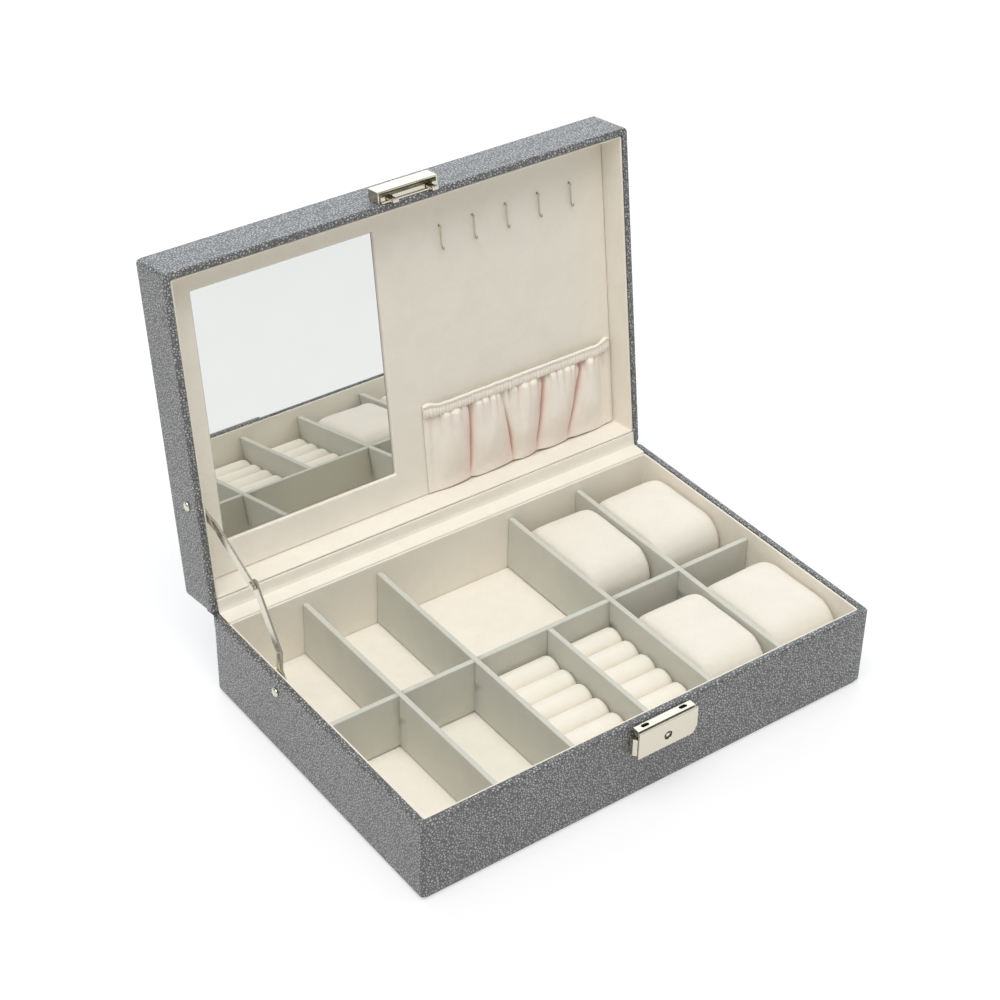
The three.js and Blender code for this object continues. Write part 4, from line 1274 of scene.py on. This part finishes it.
    def make_stitches(self, box, casing, material):
        """Small raised stitches down both side seams; returns the two rows."""
        tree, given = plan_tree("seam_stitches", [
            ("Spacing", "NodeSocketFloat", 0.0022),
            ("Thread Radius", "NodeSocketFloat", 0.0002),
            ("Stitch", "NodeSocketFloat", 0.0014)])
        line = add(tree, "GeometryNodeMeshToCurve", {"Mesh": given["Path"]})
        spots = add(tree, "GeometryNodeCurveToPoints", {
            "Curve": line.outputs[0], "Length": given["Spacing"]}, mode="LENGTH")
        thread = add(tree, "GeometryNodeCurvePrimitiveLine", {"Start": (0, 0, 0), "End": (0, 0, 1)})
        half = add(tree, "ShaderNodeMath", {0: given["Stitch"], 1: 0.5}, operation="MULTIPLY")
        less = add(tree, "ShaderNodeMath", {0: half.outputs[0], 1: -1.0}, operation="MULTIPLY")
        start = add(tree, "ShaderNodeCombineXYZ", {"Z": less.outputs[0]})
        stop = add(tree, "ShaderNodeCombineXYZ", {"Z": half.outputs[0]})
        tree.links.new(start.outputs[0], thread.inputs["Start"])
        tree.links.new(stop.outputs[0], thread.inputs["End"])
        ring = add(tree, "GeometryNodeCurvePrimitiveCircle", {
            "Resolution": 6, "Radius": given["Thread Radius"]})
        bar = add(tree, "GeometryNodeCurveToMesh", {
            "Curve": thread.outputs[0], "Profile Curve": ring.outputs[0], "Fill Caps": True})
        copies = add(tree, "GeometryNodeInstanceOnPoints", {
            "Points": spots.outputs["Points"], "Instance": bar.outputs[0],
            "Rotation": spots.outputs["Rotation"]})
        end_plan(tree, copies.outputs[0], material)
        spacing = bpy.context.scene.box_sizes.stitch_length
        seams = []
        for side, u in (("left", 0.028), ("right", 0.975)):
            way = []
            for j in range(2, 39):
                v = j / 40
                rise, _ = self.stand_off(u, v)
                x = box.x0 + (box.x1 - box.x0) * u
                y = box.y1 - 0.7 + (casing.y1 - box.y1 + 0.7) * v
                way.append(Vector((x, y, box.z1 - rise - 0.38)) * MM)
            edges = [(k, k + 1) for k in range(len(way) - 1)]
            seam = run_plan(tree, f"pocket_stitches_{side}", way, edges, {
                "Spacing": spacing, "Thread Radius": 0.22 * MM, "Stitch": spacing * 0.62})
            seam.data.transform(LID)
            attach(seam, "lid")
            seams.append(seam)
        return seams


METAL_NODES = ["lock_cam", "lock_bolt", "catch_cover", "catch_prongs",
               "stay_base_rivet", "stay_lid_rivet", "stay_lower_arm", "stay_upper_arm",
               "stay_knuckle_pin", "stay_knuckle_cap"]


class BOX_OT_fittings(PieceOperator, bpy.types.Operator):
    """Nickel lock, catch and lid stay, with their edges broken"""
    bl_idname = "jewellery_box.fittings"
    bl_label = "Lock, catch and stay"

    def break_edges(self, obj, width):
        """Small shining rounds along every edge."""
        weld = obj.modifiers.new("one_skin", "WELD")
        weld.merge_threshold = 0.00001
        edge = obj.modifiers.new("broken_edge", "BEVEL")
        edge.width = width
        edge.segments = 3
        edge.limit_method = "ANGLE"
        edge.angle_limit = math.radians(32)
        edge.harden_normals = True

    def prism(self, outline, low, high, axis):
        """A closed block of an outline drawn across an axis."""
        turn = {"Y": lambda a, b, along: Vector((a, along, b)),
                "Z": lambda a, b, along: Vector((a, b, along))}[axis]
        loops = [[turn(a, b, along) for a, b in outline] for along in (low, high)]
        return loft(loops, capped=True)

    def oblong(self, x0, x1, z0, z1):
        return [(x0, z0), (x1, z0), (x1, z1), (x0, z1)]

    def slot_outline(self, x0, x1, y0, y1):
        """A slot with round ends."""
        r = (y1 - y0) / 2
        turns = [math.radians(90 + 22.5 * k) for k in range(9)]
        left = [(x0 + r + r * math.cos(t), (y0 + y1) / 2 + r * math.sin(t)) for t in turns]
        right = [(x1 - r - r * math.cos(t), (y0 + y1) / 2 - r * math.sin(t)) for t in turns]
        return left + right

    def disc_outline(self, x, z, radius, sides=36):
        turns = [2 * math.pi * k / sides for k in range(sides)]
        return [(x + radius * math.cos(t), z + radius * math.sin(t)) for t in turns]

    def cut(self, obj, shapes):
        for points, faces in shapes:
            subtract(obj, piece("cutter", (points, faces), None, finishes()["nickel"]))

    def prong_places(self):
        """Where the catch's two prongs enter the lock when the lid is shut."""
        back = LID.inverted()
        prongs = frame["nodes"]["catch_prongs"].data.vertices
        low = [back @ v.co / MM for v in prongs]
        low = [p for p in low if p.z < -1.0]
        middle = (min(p.x for p in low) + max(p.x for p in low)) / 2
        sides = [[p for p in low if p.x < middle], [p for p in low if p.x > middle]]
        return [(min(p.x for p in side), max(p.x for p in side),
                 min(p.y for p in side) + HINGE.y / MM, max(p.y for p in side) + HINGE.y / MM)
                for side in sides]

    def make_lock(self):
        """Hollow case with prong slots, and its front plate standing a little clear of it."""
        nickel = finishes()["nickel"]
        case, plate = Extent("lock_case"), Extent("lock_front_plate")
        cam = Extent("lock_cam")
        key_x, key_radius = (plate.x0 + plate.x1) / 2, 2.4
        key_z = cam.z0 + (cam.x1 - cam.x0) / 2
        wall, gap = 1.0, 0.5
        outline = self.oblong(case.x0, case.x1, case.z0, case.z1)
        shell = piece("lock_case_shell", self.prism(outline, case.y0, case.y1, "Y"), "base", nickel,
                      smooth_angle=30.0)
        inner = self.oblong(case.x0 + wall, case.x1 - wall, case.z0 + wall, case.z1 - wall)
        rebate = self.oblong(case.x0 - 1, case.x1 + 1, case.z1 - 1.3, case.z1 + 1)
        notch = self.oblong(case.x0 - 1, case.x0 + 0.6, case.z1 - 6.2, case.z1 - 1.1)
        cuts = [self.prism(inner, case.y0 + wall, case.y1 + 1, "Y"),
                self.prism(rebate, case.y0 - 1, case.y0 + 0.5, "Y"),
                self.prism(notch, case.y0 + 0.7, case.y1 + 1, "Y"),
                self.prism(self.disc_outline(key_x, key_z, key_radius), case.y0 - 1,
                           case.y0 + wall + 0.5, "Y")]
        for x0, x1, y0, y1 in self.prong_places():
            cuts.append(self.prism(self.slot_outline(x0 - gap, x1 + gap, y0 - gap / 2, y1 + gap / 2),
                                   case.z1 - 3, case.z1 + 1, "Z"))
        self.cut(shell, cuts)
        self.break_edges(shell, 0.00018)
        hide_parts("lock_case")

        clip_x, clip_z = 2.3, 4.2
        outline = [(plate.x0, plate.z0), (plate.x1 - clip_x, plate.z0), (plate.x1, plate.z0 + clip_z),
                   (plate.x1, plate.z1 - 0.7), (plate.x0, plate.z1 - 0.7)]
        face = piece("lock_plate", self.prism(outline, plate.y0, plate.y0 + 0.8, "Y"), "base", nickel,
                     smooth_angle=30.0)
        self.cut(face, [self.prism(self.disc_outline(key_x, key_z, key_radius), plate.y0 - 1,
                                   plate.y1 + 1, "Y")])
        self.break_edges(face, 0.00028)
        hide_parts("lock_front_plate")

        side, slant = 1.5, 2.0
        outline = [(case.x0 - 0.03, case.y0 + 0.35), (case.x0 - side, case.y0 + 0.35 + slant),
                   (case.x0 - side, case.y1 - 0.3), (case.x0 - 0.03, case.y1 - 0.3)]
        flange = piece("lock_flange", self.prism(outline, case.z0 + 0.4, case.z1 - 5.4, "Z"), "base",
                       nickel, smooth_angle=30.0)
        self.break_edges(flange, 0.00018)

    def make_catch_lip(self):
        """The prong plate's edge, bent outwards under the cover, with a notch round each prong."""
        cover, plate = Extent("catch_cover", LID), Extent("catch_prongs", LID)
        gap, low, high, reach = 0.3, cover.z0 - 0.75, cover.z0 + 0.05, 3.3
        (a0, a1, _, _), (b0, b1, _, _) = self.prong_places()
        lips = [soft_box(x0, x1, plate.y1 - reach, plate.y1 - 0.1, low, high, 0.2, 2, 8.0)
                for x0, x1 in ((plate.x0, a0 - gap), (a1 + gap, b0 - gap), (b1 + gap, plate.x1))]
        lip = piece("catch_lip", merge(*lips), "lid", finishes()["nickel"], LID)

    def execute(self, context):
        self.make_catch_lip()
        for name in METAL_NODES:
            refinish(name, finishes()["nickel"])
            self.break_edges(frame["nodes"][name], 0.00022)
        self.make_lock()
        return {"FINISHED"}


class BOX_OT_boards(PieceOperator, bpy.types.Operator):
    """Finishes of the boards inside the covers and of the sheet underneath"""
    bl_idname = "jewellery_box.boards"
    bl_label = "Boards and underside"

    def execute(self, context):
        for name in frame["nodes"]:
            if name.endswith("_board"):
                refinish(name, finishes()["board"])
        refinish("underside_sheet", finishes()["felt"])
        return {"FINISHED"}


class BOX_OT_stage(PieceOperator, bpy.types.Operator):
    """Pale floor, soft studio light and the camera"""
    bl_idname = "jewellery_box.stage"
    bl_label = "Stage"

    def light(self, name, where, aim, size, power, colour=(1.0, 1.0, 1.0)):
        data = bpy.data.lights.new(name, "AREA")
        data.shape = "RECTANGLE"
        data.size, data.size_y = size
        data.energy = power
        data.color = colour
        obj = bpy.data.objects.new(name, data)
        bpy.context.scene.collection.objects.link(obj)
        obj.location = where
        obj.rotation_euler = (Vector(aim) - Vector(where)).to_track_quat("-Z", "Y").to_euler()

    def execute(self, context):
        scene = context.scene
        stage = scene.box_stage
        scene.view_settings.view_transform = "Standard"
        bpy.ops.mesh.primitive_grid_add(x_subdivisions=8, y_subdivisions=8, size=24)
        floor = context.object
        floor.name = "studio_floor"
        material, tree, shader, place = new_material("studio_paper")
        tone = add(tree, "ShaderNodeTexNoise", {"Vector": place, "Scale": 2.0})
        path = add(tree, "ShaderNodeLightPath")
        seen = maths(tree, "MAXIMUM", path.outputs["Is Camera Ray"], path.outputs["Is Glossy Ray"])
        feed(tree, shader, {
            "Base Color": mixed(tree, tone.outputs["Fac"], (0.44, 0.44, 0.44), (0.46, 0.46, 0.46)),
            "Roughness": 0.9, "Specular IOR Level": 0.1, "Emission Color": (1.0, 1.0, 1.0, 1.0),
            "Emission Strength": ranged(tree, seen, 0.0, 1.0, 0.30, 0.56, smooth=False)})
        floor.data.materials.append(material)

        world = bpy.data.worlds.new("white_room")
        scene.world = world
        world.use_nodes = True
        tree = world.node_tree
        tree.nodes.clear()
        way = add(tree, "ShaderNodeTexCoord").outputs["Generated"]
        height = add(tree, "ShaderNodeSeparateXYZ", {0: way}).outputs["Z"]
        tone = mixed(tree, ranged(tree, height, -0.1, 0.7), (0.93, 0.93, 0.94), (1.0, 1.0, 1.0))
        shade = add(tree, "ShaderNodeBackground", {"Color": tone, "Strength": stage.sky})
        output = tree.nodes.new("ShaderNodeOutputWorld")
        tree.links.new(shade.outputs[0], output.inputs[0])

        self.light("key", (-0.45, -0.38, 2.0), (0.0, 0.02, 0.05), (1.6, 1.4), stage.key_power)
        self.light("back", (1.0, 1.5, 1.15), (0.0, 0.0, 0.1), (3.5, 1.95), stage.rim_power,
                   (0.86, 0.92, 1.0))

        a, e, r = stage.azimuth, stage.elevation, stage.roll
        back = Vector((math.sin(a) * math.cos(e), -math.cos(a) * math.cos(e), math.sin(e)))
        right = Vector((math.cos(a), math.sin(a), 0.0))
        up = back.cross(right)
        turned_right = right * math.cos(r) + up * math.sin(r)
        turned_up = -right * math.sin(r) + up * math.cos(r)
        target = Vector((0.030783, 0.08006, 0.060))
        data = bpy.data.cameras.new("camera")
        data.sensor_width = 36.0
        data.lens = 80.98
        data.clip_end = 50.0
        camera = bpy.data.objects.new("camera", data)
        scene.collection.objects.link(camera)
        axes = Matrix((turned_right, turned_up, back)).transposed().to_4x4()
        camera.matrix_world = Matrix.Translation(target + back * stage.distance) @ axes
        scene.camera = camera
        return {"FINISHED"}


class BOX_PT_sidebar(bpy.types.Panel):
    """Lists the settings and the makers of the box's pieces"""
    bl_idname = "BOX_PT_sidebar"
    bl_label = "Watch and Jewellery Box"
    bl_space_type = "VIEW_3D"
    bl_region_type = "UI"
    bl_category = "Jewellery Box"

    def draw(self, context):
        layout = self.layout
        for group in (context.scene.box_sizes, context.scene.box_colours, context.scene.box_stage):
            column = layout.column(align=True)
            for name in group.__annotations__:
                column.prop(group, name)
        column = layout.column(align=True)
        for maker in OPERATORS:
            column.operator(maker.bl_idname)


OPERATORS = [BOX_OT_covers, BOX_OT_linings, BOX_OT_dividers, BOX_OT_ring_pads, BOX_OT_pillows,
             BOX_OT_mirror_panel, BOX_OT_hooks, BOX_OT_pocket, BOX_OT_fittings, BOX_OT_boards,
             BOX_OT_stage]
SETTINGS = {"box_sizes": BoxSizes, "box_colours": BoxColours, "box_stage": BoxStage}


def register():
    for group in SETTINGS.values():
        bpy.utils.register_class(group)
    for name, group in SETTINGS.items():
        setattr(bpy.types.Scene, name, PointerProperty(type=group))
    for maker in OPERATORS:
        bpy.utils.register_class(maker)
    bpy.utils.register_class(BOX_PT_sidebar)


def unregister():
    bpy.utils.unregister_class(BOX_PT_sidebar)
    for maker in reversed(OPERATORS):
        bpy.utils.unregister_class(maker)
    for name, group in SETTINGS.items():
        delattr(bpy.types.Scene, name)
        bpy.utils.unregister_class(group)


def main():
    register()
    bpy.ops.jewellery_box.stage()
    bpy.ops.jewellery_box.covers()
    bpy.ops.jewellery_box.linings()
    bpy.ops.jewellery_box.dividers()
    bpy.ops.jewellery_box.ring_pads()
    bpy.ops.jewellery_box.pillows()
    bpy.ops.jewellery_box.mirror_panel()
    bpy.ops.jewellery_box.hooks()
    bpy.ops.jewellery_box.pocket()
    bpy.ops.jewellery_box.fittings()
    bpy.ops.jewellery_box.boards()


if __name__ == "__main__":
    main()
